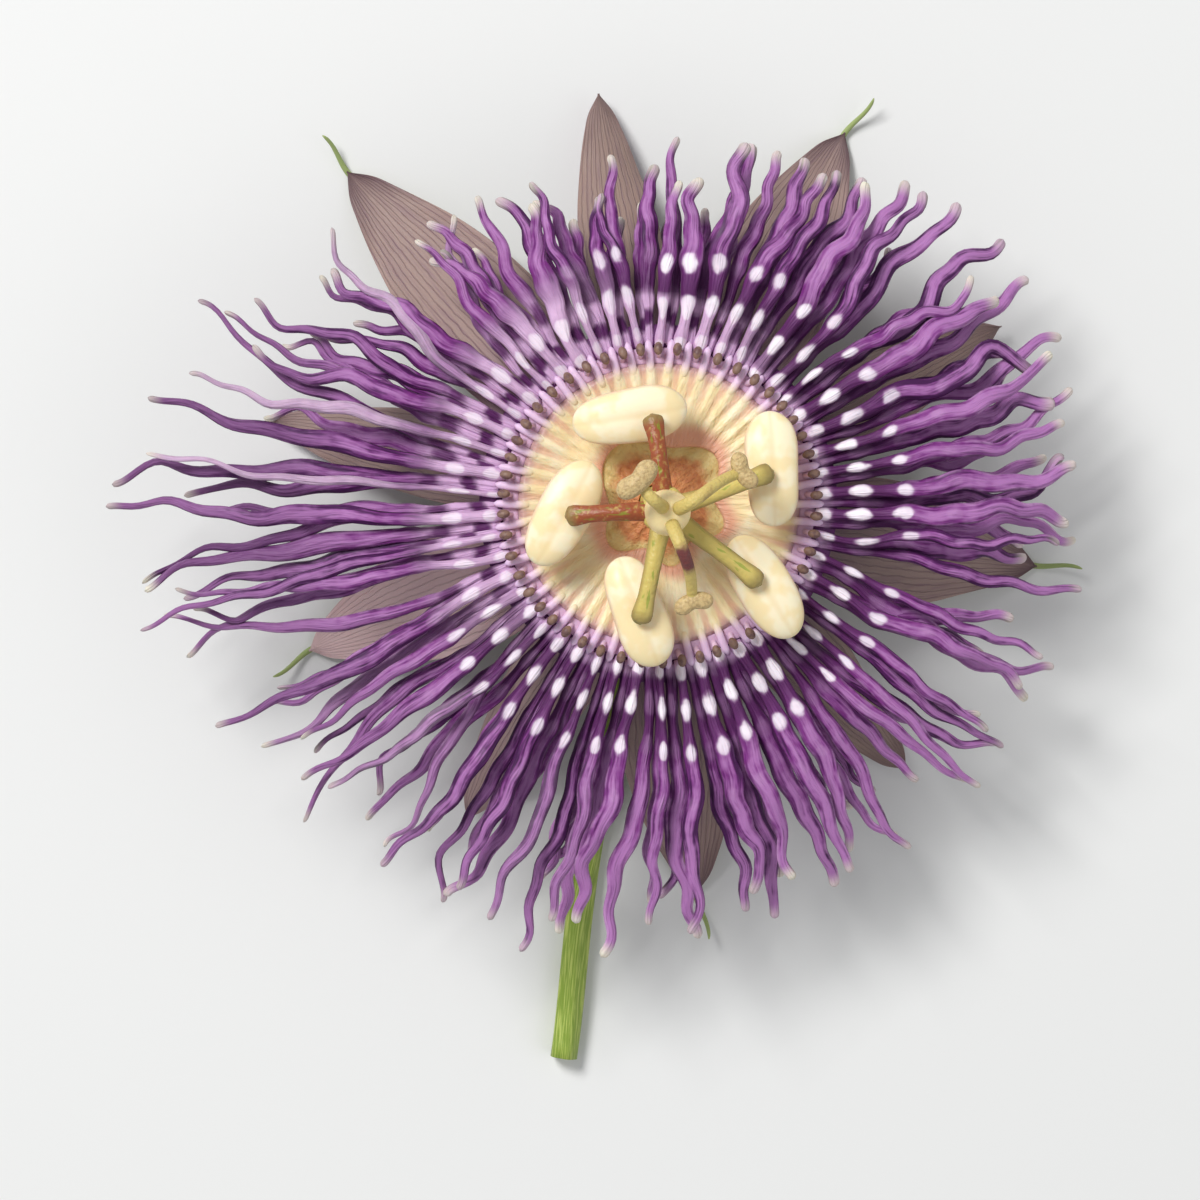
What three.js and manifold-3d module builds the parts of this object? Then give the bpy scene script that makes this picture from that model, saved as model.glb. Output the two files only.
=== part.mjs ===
// A passion flower, picked with its stalk and laid face up.
//
// Millimetres, +Z up along the flower's axis. The bloom rests on the tips of its five reflexed
// sepals, and its stalk bends away under the calyx cup and lies along the surface at Z = 0.
// While it is built the axis stands at X = Y = 0; at the end the whole bloom is moved so that
// the middle of its lowest plane is the origin.

import * as THREE from "three";
import { mergeVertices } from "three/addons/utils/BufferGeometryUtils.js";
import Module from "manifold-3d";

const wasm = await Module();
wasm.setup();

// ---- driving dimensions -------------------------------------------------------------------

const CLEARANCE = 0.3; // left between neighbouring pieces

// directions round the axis, in degrees counterclockwise from +X
const BRACT_ANGLES = [20, 140, 260];

// how far each sepal and each petal reaches from the axis: some are folded down more steeply
const SEPALS = [
  { angle: 133, reach: 47 },
  { angle: 205, reach: 40 },
  { angle: 277, reach: 44 },
  { angle: 349, reach: 43 },
  { angle: 61, reach: 44 },
];
const PETALS = [
  { angle: 97, reach: 43 },
  { angle: 169, reach: 41 },
  { angle: 241, reach: 40 },
  { angle: 313, reach: 41 },
  { angle: 25, reach: 42 },
];

// the stalk's cut end lies at endX, endY; bend is the radius that it turns in below the cup
const STALK = { radius: 1.5, sides: 10, endX: -9, endY: -61, bend: 7, sway: 2.2, flat: 0.08 };
const CUP = { baseZ: 10.4, topZ: 18.9, baseRadius: 2.6, rimRadius: 10.0 };

const SEPAL = { halfWidth: 4.4, thickness: 1.0, baseZ: 17.0, tipZ: 0.2 };
const PETAL = { halfWidth: 3.3, thickness: 0.7, baseZ: 18.4, tipZ: 2.2 };
const AWN = { length: 4.6, radius: 0.6 };
const BRACT = { reach: 19, halfWidth: 4.4, thickness: 0.7, baseZ: 8.6, tipZ: 12.4 };

// the throat's edge is a soft pentagon with a corner at one angle; pull, in degrees, brings the
// two corners beside that one nearer to it, and the whole is shifted towards another angle
const THROAT = { radius: 6.3, lobe: 0.9, corner: 131, pull: 90, shift: 0.6, shiftAngle: 70 };
const DISC = { radius: 14.6, bottomZ: 19.2, innerZ: 20.9, outerZ: 21.6, ribs: 50, ribDepth: 0.3 };
const OPERCULUM = { innerRadius: 2.5, bottomZ: 19.2, innerZ: 21.2, outerZ: 19.9 };

const INNER_CORONA = { innerRadius: 14.9, outerRadius: 16.1, bottomZ: 20.0, topZ: 21.0, count: 50 };
const OUTER_CORONA = { innerRadius: 16.4, outerRadius: 18.8, bottomZ: 19.7, topZ: 21.2, rank: 50 };
const FILAMENT = { width: 1.8, height: 1.0, reach: 45, waves: 2.2, segments: 8 };
const LONG_SIDE = { angle: 182, spread: 30, extra: 13 }; // where the filaments reach furthest
const LOW_SIDE = { angle: 245, spread: 28, extra: 3 }; // where they reach a little further
const SHORT_SIDE = { angle: 102, spread: 45, less: 9 }; // where they are shortest

const COLUMN = { bottomZ: 19.2, topZ: 30.2, baseRadius: 2.2, neckRadius: 1.7 };
const ARM = { width: 2.0, thickness: 1.1, rootZ: 29.4, tipZ: 28.7 };
// turn is the way the anther lies from its arm, slide how far it sits along that way, and
// inset how far its middle lies inside the arm's end
const STAMENS = [
  { angle: 97, reach: 10.0, turn: 92, slide: 2.2, inset: 0 },
  { angle: 183, reach: 10.3, turn: -122, slide: 0, inset: 0 },
  { angle: 257, reach: 12.2, turn: 33, slide: 0, inset: 1.1 },
  { angle: 322, reach: 12.8, turn: -21, slide: 0, inset: -0.7 },
  { angle: 18, reach: 12.0, turn: 75, slide: 0.3, inset: 0 },
];
const ANTHER = { length: 12, width: 5.6, thickness: 2.2 };

const OVARY = { radius: 2.4, bottomZ: 30.5, topZ: 36.3 };
const STYLES = [
  { angle: 286, reach: 9.2, crestZ: 37.6, tipZ: 33.6, size: 1 },
  { angle: 133, reach: 4.6, crestZ: 38.4, tipZ: 39.2, size: 1.25 },
  { angle: 29, reach: 8.4, crestZ: 37.8, tipZ: 34.2, size: 1 },
];
const STIGMA = { length: 3.8, width: 2.0, thickness: 1.6 };

// ---- colours ------------------------------------------------------------------------------

const FINISH = {
  stalk: { color: 0x96a83a, roughness: 0.5 },
  bract: { color: 0x6f8d35, roughness: 0.55 },
  sepal: { color: 0xb998a0, roughness: 0.6 },
  petal: { color: 0xb08ba5, roughness: 0.6 },
  disc: { color: 0xe6d3ae, roughness: 0.5 },
  operculum: { color: 0x9a5a3a, roughness: 0.5 },
  innerCorona: { color: 0x7d5a6c, roughness: 0.55 },
  outerCorona: { color: 0x6b3d78, roughness: 0.55 },
  column: { color: 0xa39a4c, roughness: 0.5 },
  anther: { color: 0xecdcb6, roughness: 0.6 },
  ovary: { color: 0xe2d6a4, roughness: 0.4 },
  style: { color: 0x8b7550, roughness: 0.5 },
};

// ---- small helpers ------------------------------------------------------------------------

const radians = THREE.MathUtils.degToRad;
const mix = THREE.MathUtils.lerp;
const UP = new THREE.Vector3(0, 0, 1);

/** The point at this distance from the axis, in this direction and at this height. */
function polar(radius, degrees, z) {
  const angle = radians(degrees);
  return new THREE.Vector3(radius * Math.cos(angle), radius * Math.sin(angle), z);
}

/** A repeatable source of numbers from 0 to 1. */
function seededRandom(seed) {
  let state = seed;
  return () => {
    state = (state + 0x6d2b79f5) | 0;
    let mixed = Math.imul(state ^ (state >>> 15), 1 | state);
    mixed = (mixed + Math.imul(mixed ^ (mixed >>> 7), 61 | mixed)) ^ mixed;
    return ((mixed ^ (mixed >>> 14)) >>> 0) / 4294967296;
  };
}

/** A geometry from points and triangles, turned so that its faces point out. */
function closedGeometry(points, triangles) {
  let volume = 0;
  for (const [a, b, c] of triangles) {
    volume += points[a].dot(points[b].clone().cross(points[c]));
  }
  const index = triangles.flatMap(([a, b, c]) => (volume > 0 ? [a, b, c] : [a, c, b]));
  const geometry = new THREE.BufferGeometry().setFromPoints(points);
  geometry.setIndex(index);
  return geometry;
}

/** A skin over sections with the same number of points, closed by a fan at each end. */
function loft(sections) {
  const sides = sections[0].length;
  const triangles = [];
  for (let row = 0; row + 1 < sections.length; row += 1) {
    for (let side = 0; side < sides; side += 1) {
      const next = (side + 1) % sides;
      const here = row * sides;
      const there = here + sides;
      triangles.push([here + side, here + next, there + next]);
      triangles.push([here + side, there + next, there + side]);
    }
  }
  const last = (sections.length - 1) * sides;
  for (let side = 1; side + 1 < sides; side += 1) {
    triangles.push([0, side + 1, side]);
    triangles.push([last, last + side, last + side + 1]);
  }
  return closedGeometry(sections.flat(), triangles);
}

/**
 * A tube along centre points. shape(t) gives its section at t from 0 to 1, as pairs of
 * distances sideways and upwards from the centre.
 */
function tube(centres, shape, up = UP) {
  const last = centres.length - 1;
  const sections = centres.map((centre, row) => {
    const before = centres[Math.max(row - 1, 0)];
    const after = centres[Math.min(row + 1, last)];
    const along = after.clone().sub(before).normalize();
    const side = up.clone().cross(along).normalize();
    const normal = along.clone().cross(side);
    return shape(row / last).map(([sideways, upwards]) =>
      centre.clone().addScaledVector(side, sideways).addScaledVector(normal, upwards));
  });
  return loft(sections);
}

/** An oval of so many sides, its first flat side down. */
function oval(sides, halfWidth, halfHeight) {
  return Array.from({ length: sides }, (_, side) => {
    const angle = (2 * Math.PI * (side + 0.5)) / sides - Math.PI / 2;
    return [halfWidth * Math.cos(angle), halfHeight * Math.sin(angle)];
  });
}

/**
 * A closed blade. surface(along, across) gives its upper face for along from 0 to 1 and
 * across from -1 to 1, and the lower face is the same net moved down by the thickness, so
 * both faces are split into triangles alike and never cross.
 */
function blade(surface, rows, columns, thickness) {
  const grid = [];
  for (let row = 0; row <= rows; row += 1) {
    for (let column = 0; column <= columns; column += 1) {
      grid.push(surface(row / rows, (2 * column) / columns - 1));
    }
  }
  const down = new THREE.Vector3(0, 0, -thickness);
  const points = [...grid, ...grid.map((point) => point.clone().add(down))];
  const at = (row, column) => row * (columns + 1) + column;
  const triangles = [];
  for (let row = 0; row < rows; row += 1) {
    for (let column = 0; column < columns; column += 1) {
      const [a, b] = [at(row, column), at(row, column + 1)];
      const [c, d] = [at(row + 1, column), at(row + 1, column + 1)];
      triangles.push([a, c, d], [a, d, b]);
      triangles.push([a, d, c].map((i) => i + grid.length), [a, b, d].map((i) => i + grid.length));
    }
  }
  const rim = [];
  for (let column = 0; column < columns; column += 1) rim.push(at(0, column));
  for (let row = 0; row < rows; row += 1) rim.push(at(row, columns));
  for (let column = columns; column > 0; column -= 1) rim.push(at(rows, column));
  for (let row = rows; row > 0; row -= 1) rim.push(at(row, 0));
  rim.forEach((here, step) => {
    const next = rim[(step + 1) % rim.length];
    triangles.push([here, next, next + grid.length], [here, next + grid.length, here + grid.length]);
  });
  return closedGeometry(points, triangles);
}

/**
 * A closed ring round the axis. profile(degrees) gives the section there, as pairs of radius
 * and height that go once round the section.
 */
function ring(steps, profile) {
  const sections = Array.from({ length: steps }, (_, step) => {
    const degrees = (360 * step) / steps;
    return profile(degrees, step).map(([radius, z]) => polar(radius, degrees, z));
  });
  const corners = sections[0].length;
  const triangles = [];
  for (let step = 0; step < steps; step += 1) {
    const here = step * corners;
    const there = ((step + 1) % steps) * corners;
    for (let corner = 0; corner < corners; corner += 1) {
      const next = (corner + 1) % corners;
      triangles.push([here + corner, there + corner, there + next]);
      triangles.push([here + corner, there + next, here + next]);
    }
  }
  return closedGeometry(sections.flat(), triangles);
}

/** A body of revolution from pairs of radius and height, from the bottom of the axis up. */
function turned(profile, steps) {
  const geometry = new THREE.LatheGeometry(profile.map(([r, z]) => new THREE.Vector2(r, z)), steps);
  return geometry.rotateX(Math.PI / 2);
}

/** A geometry as a solid that can be joined and cut. */
function solid(geometry) {
  const bare = geometry.clone();
  bare.deleteAttribute("normal");
  bare.deleteAttribute("uv");
  const merged = mergeVertices(bare, 1e-4);
  const vertProperties = new Float32Array(merged.attributes.position.array);
  const triVerts = new Uint32Array(merged.index.array);
  return new wasm.Manifold(new wasm.Mesh({ numProp: 3, vertProperties, triVerts }));
}

/** The geometry of a solid. */
function geometryOf(body) {
  const mesh = body.getMesh();
  const geometry = new THREE.BufferGeometry();
  geometry.setAttribute("position", new THREE.BufferAttribute(mesh.vertProperties, 3));
  geometry.setIndex(new THREE.BufferAttribute(mesh.triVerts, 1));
  return geometry;
}

/** Several geometries grown together into one. */
function fused(geometries) {
  return geometryOf(geometries.map(solid).reduce((whole, part) => whole.add(part)));
}

/** What of a geometry lies above the surface that the bloom rests on. */
function aboveGround(geometry) {
  const ground = new THREE.BoxGeometry(300, 300, 20).translate(0, 0, -10);
  return geometryOf(solid(geometry).subtract(solid(ground)));
}

const bloom = new THREE.Group();

/** Adds a named piece with its finish to the bloom. */
function addPiece(name, geometry, { color, roughness }) {
  const material = new THREE.MeshStandardMaterial({ color, roughness, metalness: 0 });
  const mesh = new THREE.Mesh(geometry, material);
  mesh.name = name;
  bloom.add(mesh);
}

// ---- stalk and calyx cup ------------------------------------------------------------------

/** The stalk's line, from inside the cup down, round its bend and out along the surface. */
function stalkLine() {
  const { radius, endX, endY, bend, flat } = STALK;
  const away = new THREE.Vector3(endX, endY, 0);
  const run = away.length();
  away.normalize();
  const lieZ = radius - flat; // sunk a little, so that its underside is a flat strip
  const turnZ = lieZ + bend;
  const line = [new THREE.Vector3(0, 0, CUP.baseZ + 1.5)];
  for (const degrees of [0, 22, 45, 68, 90]) {
    const angle = radians(degrees);
    const out = bend * (1 - Math.cos(angle));
    line.push(away.clone().multiplyScalar(out).setZ(turnZ - bend * Math.sin(angle)));
  }
  const sideways = new THREE.Vector3(-away.y, away.x, 0);
  for (const share of [0.25, 0.4, 0.55, 0.7, 0.85, 1]) {
    const sway = STALK.sway * Math.sin(2 * Math.PI * share) * (1 - share);
    line.push(away.clone().multiplyScalar(run * share).addScaledVector(sideways, sway).setZ(lieZ));
  }
  return line;
}

function stalkAndCup() {
  const line = stalkLine();
  const away = line.at(-1).clone().setZ(0).normalize();
  const across = new THREE.Vector3(-away.y, away.x, 0);
  // The section is carried across the bend, so it never twists.
  const sections = line.map((centre, row) => {
    const before = line[Math.max(row - 1, 0)];
    const after = line[Math.min(row + 1, line.length - 1)];
    const along = after.clone().sub(before).normalize();
    const outer = along.clone().cross(across).normalize();
    return oval(STALK.sides, STALK.radius, STALK.radius).map(([sideways, upwards]) =>
      centre.clone().addScaledVector(across, sideways).addScaledVector(outer, -upwards));
  });
  const cup = turned([
    [0, CUP.baseZ - 0.6],
    [STALK.radius + 0.2, CUP.baseZ - 0.5],
    [CUP.baseRadius, CUP.baseZ],
    [5.6, CUP.baseZ + 1.3],
    [8.2, CUP.baseZ + 3.5],
    [9.5, CUP.baseZ + 6.2],
    [CUP.rimRadius, CUP.topZ],
    [0, CUP.topZ],
  ], 24);
  return aboveGround(fused([loft(sections), cup]));
}

addPiece("stalk_and_cup", stalkAndCup(), FINISH.stalk);

// ---- bracts, sepals and petals ------------------------------------------------------------

const LEAF_START = CUP.rimRadius + CLEARANCE + 0.05;

/** Distance out and height of a reflexed leaf's midline: level at the cup, steepest halfway. */
function reflexed(leaf, reach, along) {
  const fall = (1 - Math.cos(Math.PI * along)) / 2;
  return { radius: mix(LEAF_START, reach, along), z: mix(leaf.baseZ, leaf.tipZ, fall) };
}

/** Half the width of a leaf that swells from its base and narrows to a blunt tip. */
function leafHalfWidth(leaf, along, baseShare, tip) {
  const taper = mix(leaf.halfWidth * baseShare, tip, along);
  return taper + leaf.halfWidth * Math.sin(Math.PI * along ** 0.9);
}

function sepal({ angle, reach }) {
  const surface = (along, across) => {
    const { radius, z } = reflexed(SEPAL, reach, along);
    const sideways = across * leafHalfWidth(SEPAL, along, 0.72, 0.9);
    const hollow = 1.5 * across * across * Math.sin(Math.PI * along);
    const degrees = angle + THREE.MathUtils.radToDeg(sideways / radius);
    return polar(radius, degrees, z + SEPAL.thickness / 2 + hollow);
  };
  // The keel runs down the back and leaves the tip as an awn.
  const awnStart = reflexed(SEPAL, reach, 0.86);
  const centres = [0.35, 0.5, 0.65, 0.76, 0.86].map((along) => {
    const { radius, z } = reflexed(SEPAL, reach, along);
    return polar(radius, angle, z - 0.35);
  });
  for (const share of [0.5, 1]) {
    const radius = mix(awnStart.radius, reach + AWN.length, share);
    centres.push(polar(radius, angle, mix(1.2, 2.8, share ** 2)));
  }
  const keel = tube(centres, (t) => {
    const size = AWN.radius * (1.15 - 0.75 * t ** 3);
    return [[-size, 0.3], [0, -size * 1.1], [size, 0.3], [0, size]];
  });
  return aboveGround(fused([blade(surface, 9, 4, SEPAL.thickness), keel]));
}

function petal({ angle, reach }, ripple) {
  const surface = (along, across) => {
    const { radius, z } = reflexed(PETAL, reach, along);
    const sideways = across * leafHalfWidth(PETAL, along, 0.62, 0.8);
    const wave = 0.55 * across * Math.sin(2 * Math.PI * (1.5 * along + ripple)) * along;
    const arch = 0.9 * across * across * Math.sin(Math.PI * along);
    const degrees = angle + THREE.MathUtils.radToDeg(sideways / radius);
    return polar(radius, degrees, z + PETAL.thickness / 2 + wave - arch);
  };
  return blade(surface, 9, 4, PETAL.thickness);
}

function bract(angle) {
  const rows = 10;
  const start = STALK.radius + CLEARANCE + 0.2;
  const surface = (along, across) => {
    const tooth = Math.round(along * rows) % 2 === 0 ? 0.86 : 1;
    const radius = mix(start, BRACT.reach, along);
    const dip = 1.4 * Math.sin(Math.PI * along) * (1 - along);
    const z = mix(BRACT.baseZ, BRACT.tipZ, along ** 1.8) - dip;
    const halfWidth = mix(0.9, 0.5, along) + BRACT.halfWidth * Math.sin(Math.PI * along ** 0.8);
    const edge = Math.abs(across) === 1 ? tooth : 1;
    const sideways = across * halfWidth * edge;
    const out = polar(radius, angle, z + 0.9 * across * across * Math.sin(Math.PI * along));
    return out.addScaledVector(polar(1, angle + 90, 0), sideways);
  };
  return blade(surface, rows, 4, BRACT.thickness);
}

BRACT_ANGLES.forEach((angle, i) => addPiece(`bract_${i + 1}`, bract(angle), FINISH.bract));
SEPALS.forEach((place, i) => addPiece(`sepal_${i + 1}`, sepal(place), FINISH.sepal));
PETALS.forEach((place, i) => addPiece(`petal_${i + 1}`, petal(place, i / 5), FINISH.petal));

// ---- disc and operculum -------------------------------------------------------------------

/** How far the throat's edge lies from the axis in this direction. */
function throatRadius(degrees) {
  const turn = radians(degrees - THROAT.corner);
  const lobes = Math.cos(5 * turn - radians(THROAT.pull) * Math.sin(turn));
  const shift = THROAT.shift * Math.cos(radians(degrees - THROAT.shiftAngle));
  return THROAT.radius + THROAT.lobe * lobes + shift;
}

function disc() {
  return ring(2 * DISC.ribs, (degrees, step) => {
    const rib = step % 2 === 0 ? DISC.ribDepth : 0;
    const inner = throatRadius(degrees);
    const middle = mix(inner, DISC.radius, 0.5);
    return [
      [inner, DISC.bottomZ],
      [inner, DISC.innerZ - 0.4],
      [inner + 0.4, DISC.innerZ],
      [middle, DISC.innerZ - 0.2 + rib],
      [DISC.radius - 0.3, DISC.outerZ - 0.3 + rib],
      [DISC.radius, DISC.outerZ - 0.9],
      [DISC.radius - 0.4, DISC.bottomZ + 0.7],
      [CUP.rimRadius, DISC.bottomZ],
    ];
  });
}

function operculum() {
  return ring(40, (degrees, step) => {
    const fold = step % 2 === 0 ? 0.25 : 0;
    const outer = throatRadius(degrees) - CLEARANCE;
    return [
      [OPERCULUM.innerRadius, OPERCULUM.bottomZ],
      [OPERCULUM.innerRadius, OPERCULUM.innerZ],
      [mix(OPERCULUM.innerRadius, outer, 0.5), OPERCULUM.outerZ + 0.4 + fold],
      [outer, OPERCULUM.outerZ + fold],
      [outer, OPERCULUM.bottomZ],
    ];
  });
}

addPiece("disc", disc(), FINISH.disc);
addPiece("operculum", operculum(), FINISH.operculum);

// ---- corona -------------------------------------------------------------------------------

/** The plain ring that a rank of filaments grows from. */
function coronaRing({ innerRadius, outerRadius, bottomZ, topZ }) {
  return ring(50, () => [
    [innerRadius, bottomZ],
    [innerRadius, topZ],
    [outerRadius, topZ],
    [outerRadius, bottomZ],
  ]);
}

/** Short filaments, each a slim stem that leans out and ends in a small head. */
function innerCorona() {
  const random = seededRandom(11);
  const parts = [coronaRing(INNER_CORONA)];
  const middle = (INNER_CORONA.innerRadius + INNER_CORONA.outerRadius) / 2;
  for (let i = 0; i < INNER_CORONA.count; i += 1) {
    const degrees = (360 * (i + 0.5)) / INNER_CORONA.count;
    const height = 1.9 + 0.5 * random();
    const centres = [0, 0.55, 0.75, 1].map((share) =>
      polar(middle + 0.6 * share, degrees, INNER_CORONA.topZ - 0.6 + share * (height + 0.6)));
    const inward = polar(-1, degrees, 0);
    const size = [0.34, 0.3, 0.52, 0.3];
    parts.push(tube(centres, (t) => oval(3, size[Math.round(3 * t)], size[Math.round(3 * t)]), inward));
  }
  return fused(parts);
}

/** How far the filaments reach in this direction. */
function filamentReach(degrees) {
  const near = ({ angle, spread }) => {
    const turn = ((degrees - angle + 540) % 360) - 180;
    return Math.exp(-((turn / spread) ** 2));
  };
  return FILAMENT.reach + LONG_SIDE.extra * near(LONG_SIDE) + LOW_SIDE.extra * near(LOW_SIDE)
    - SHORT_SIDE.less * near(SHORT_SIDE);
}

/**
 * One long filament, a three-sided strap from its root in the ring to its tip. It leaves the
 * ring with a rise, droops towards the tip, and is crimped sideways and up and down.
 */
function filament({ degrees, rootRadius, rootZ, reach, rise, droop, phase, crimp, sweep }) {
  const centres = [];
  for (let step = 0; step <= FILAMENT.segments; step += 1) {
    const s = step / FILAMENT.segments;
    const loose = s * s * (3 - 2 * s);
    const radius = mix(rootRadius, reach, s);
    const wave = Math.sin(2 * Math.PI * (FILAMENT.waves * s + phase));
    const sideways = crimp * loose * wave + sweep * s * s;
    const lift = 0.7 * crimp * loose * Math.sin(2 * Math.PI * (2.1 * s + 1.7 * phase));
    const z = rootZ + rise * Math.sin(0.75 * Math.PI * s) - droop * s ** 2.2 + lift;
    centres.push(polar(radius, degrees + THREE.MathUtils.radToDeg(sideways / radius), z));
  }
  return tube(centres, (t) => {
    const half = (FILAMENT.width / 2) * (1 + 0.4 * Math.sin(Math.PI * t)) * (1 - 0.2 * t);
    const height = FILAMENT.height * (1 - 0.25 * t);
    return [[-half, -height / 3], [half, -height / 3], [0, (2 * height) / 3]];
  });
}

function outerCorona() {
  const random = seededRandom(5);
  const parts = [coronaRing(OUTER_CORONA)];
  const ranks = [
    { offset: 0.5, rootRadius: 17.2, rootZ: 20.7, rise: 2.6, droop: 3.4, shorter: 1.5 },
    { offset: 0, rootRadius: 17.6, rootZ: 20.2, rise: 0.4, droop: 4.6, shorter: 0 },
  ];
  for (const rank of ranks) {
    for (let i = 0; i < OUTER_CORONA.rank; i += 1) {
      const degrees = (360 * (i + rank.offset)) / OUTER_CORONA.rank;
      parts.push(filament({
        degrees,
        rootRadius: rank.rootRadius,
        rootZ: rank.rootZ,
        reach: filamentReach(degrees) - rank.shorter + 4 * (random() - 0.5),
        rise: rank.rise,
        droop: rank.droop + 1.6 * random(),
        phase: i / 9 + 0.25 * random(),
        crimp: 0.6 + 0.5 * random(),
        sweep: 3.2 * (random() - 0.5),
      }));
    }
  }
  return fused(parts);
}

addPiece("corona_inner", innerCorona(), FINISH.innerCorona);
addPiece("corona_outer", outerCorona(), FINISH.outerCorona);

// ---- column, stamens and anthers ----------------------------------------------------------

function stamenArm({ angle, reach }) {
  const centres = [0, 0.25, 0.5, 0.75, 0.92, 1].map((share) => {
    const arch = 0.7 * Math.sin(Math.PI * share);
    return polar(0.4 + (reach - 0.4) * share, angle, mix(ARM.rootZ, ARM.tipZ, share) + arch);
  });
  const widths = [1, 0.95, 0.9, 0.95, 1.15, 0.7];
  return tube(centres, (t) => {
    const share = widths[Math.round(t * (widths.length - 1))];
    return oval(6, (ARM.width / 2) * share, ARM.thickness / 2);
  });
}

function columnWithArms() {
  const column = turned([
    [0, COLUMN.bottomZ],
    [COLUMN.baseRadius, COLUMN.bottomZ],
    [COLUMN.baseRadius, COLUMN.bottomZ + 1.6],
    [COLUMN.neckRadius, COLUMN.bottomZ + 4],
    [COLUMN.neckRadius, COLUMN.topZ - 2.4],
    [COLUMN.neckRadius + 0.8, COLUMN.topZ - 0.8],
    [COLUMN.neckRadius + 0.5, COLUMN.topZ],
    [0, COLUMN.topZ],
  ], 12);
  return fused([column, ...STAMENS.map(stamenArm)]);
}

/** A flat pillow with a groove along its back, hung across the end of its arm. */
function anther({ angle, reach, turn, slide, inset }) {
  const lie = polar(1, angle + turn, 0);
  const topZ = ARM.tipZ - ARM.thickness / 2 - CLEARANCE;
  const middle = polar(reach - inset, angle, topZ).addScaledVector(lie, slide);
  const steps = 7;
  const centres = [];
  for (let step = 0; step <= steps; step += 1) {
    const s = (2 * step) / steps - 1;
    const sag = 0.9 * s * s;
    centres.push(middle.clone().addScaledVector(lie, (s * ANTHER.length) / 2)
      .setZ(middle.z - ANTHER.thickness / 2 - sag));
  }
  return tube(centres, (t) => {
    const s = 2 * t - 1;
    const swell = Math.sqrt(1 - 0.86 * s ** 4);
    const halfWidth = (ANTHER.width / 2) * swell;
    const half = (ANTHER.thickness / 2) * swell;
    return [
      [-halfWidth, 0], [-0.6 * halfWidth, -half], [0.6 * halfWidth, -half], [halfWidth, 0],
      [0.75 * halfWidth, 0.8 * half], [0.3 * halfWidth, half],
      [0, 0.75 * half], [-0.3 * halfWidth, half], [-0.75 * halfWidth, 0.8 * half],
    ];
  });
}

addPiece("column", columnWithArms(), FINISH.column);
STAMENS.forEach((stamen, i) => addPiece(`anther_${i + 1}`, anther(stamen), FINISH.anther));

// ---- ovary and styles ---------------------------------------------------------------------

function ovary() {
  const middle = (OVARY.bottomZ + OVARY.topZ) / 2;
  const half = (OVARY.topZ - OVARY.bottomZ) / 2;
  const profile = [-90, -55, -25, 5, 35, 65, 90].map((latitude) => {
    const angle = radians(latitude);
    return [OVARY.radius * Math.cos(angle), middle + half * Math.sin(angle)];
  });
  return turned(profile, 12);
}

/** A style that leaves the ovary's crown, arches over and ends in a kidney-shaped stigma. */
function styleWithStigma({ angle, reach, crestZ, tipZ, size }) {
  const startZ = OVARY.topZ + CLEARANCE;
  const curve = new THREE.CatmullRomCurve3([
    polar(1.2, angle, startZ),
    polar(mix(1.2, reach, 0.3), angle, crestZ),
    polar(mix(1.2, reach, 0.68), angle, mix(crestZ, tipZ, 0.45)),
    polar(reach, angle, tipZ),
  ]);
  const stem = tube(curve.getPoints(7), (t) => oval(6, 0.75 - 0.15 * t, 0.7 - 0.15 * t));
  const end = polar(reach + 0.3, angle, tipZ + 0.2);
  const lie = polar(1, angle + 90, 0);
  const out = polar(1, angle, 0);
  const centres = [-1, -0.6, 0, 0.6, 1].map((s) => end.clone()
    .addScaledVector(lie, (s * size * STIGMA.length) / 2)
    .addScaledVector(out, 0.8 * s * s));
  const stigma = tube(centres, (t) => {
    const swell = size * [0.55, 0.95, 0.85, 0.95, 0.55][Math.round(4 * t)];
    return oval(6, (STIGMA.width / 2) * swell, (STIGMA.thickness / 2) * swell);
  });
  return fused([stem, stigma]);
}

addPiece("ovary", ovary(), FINISH.ovary);
STYLES.forEach((style, i) => addPiece(`style_${i + 1}`, styleWithStigma(style), FINISH.style));

// ---- origin at the middle of the lowest plane ---------------------------------------------

const bounds = new THREE.Box3().setFromObject(bloom, true);
const middle = bounds.getCenter(new THREE.Vector3());
bloom.position.set(-middle.x, -middle.y, -bounds.min.z);
bloom.updateMatrixWorld(true);

export default bloom;
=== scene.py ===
"""A passion flower, picked with its stalk and laid face up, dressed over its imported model.

Shapes are nets of points over two parameters, in millimetres round the flower's axis, and
as_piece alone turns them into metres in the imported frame. Angles are in degrees
counterclockwise from +X. Heights are measured from the surface that the bloom rests on.
"""
import logging
import math
from dataclasses import dataclass
from enum import Enum
from functools import reduce
from typing import Any, Callable

import bpy
import numpy as np
from mathutils import Matrix, Vector


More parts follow.
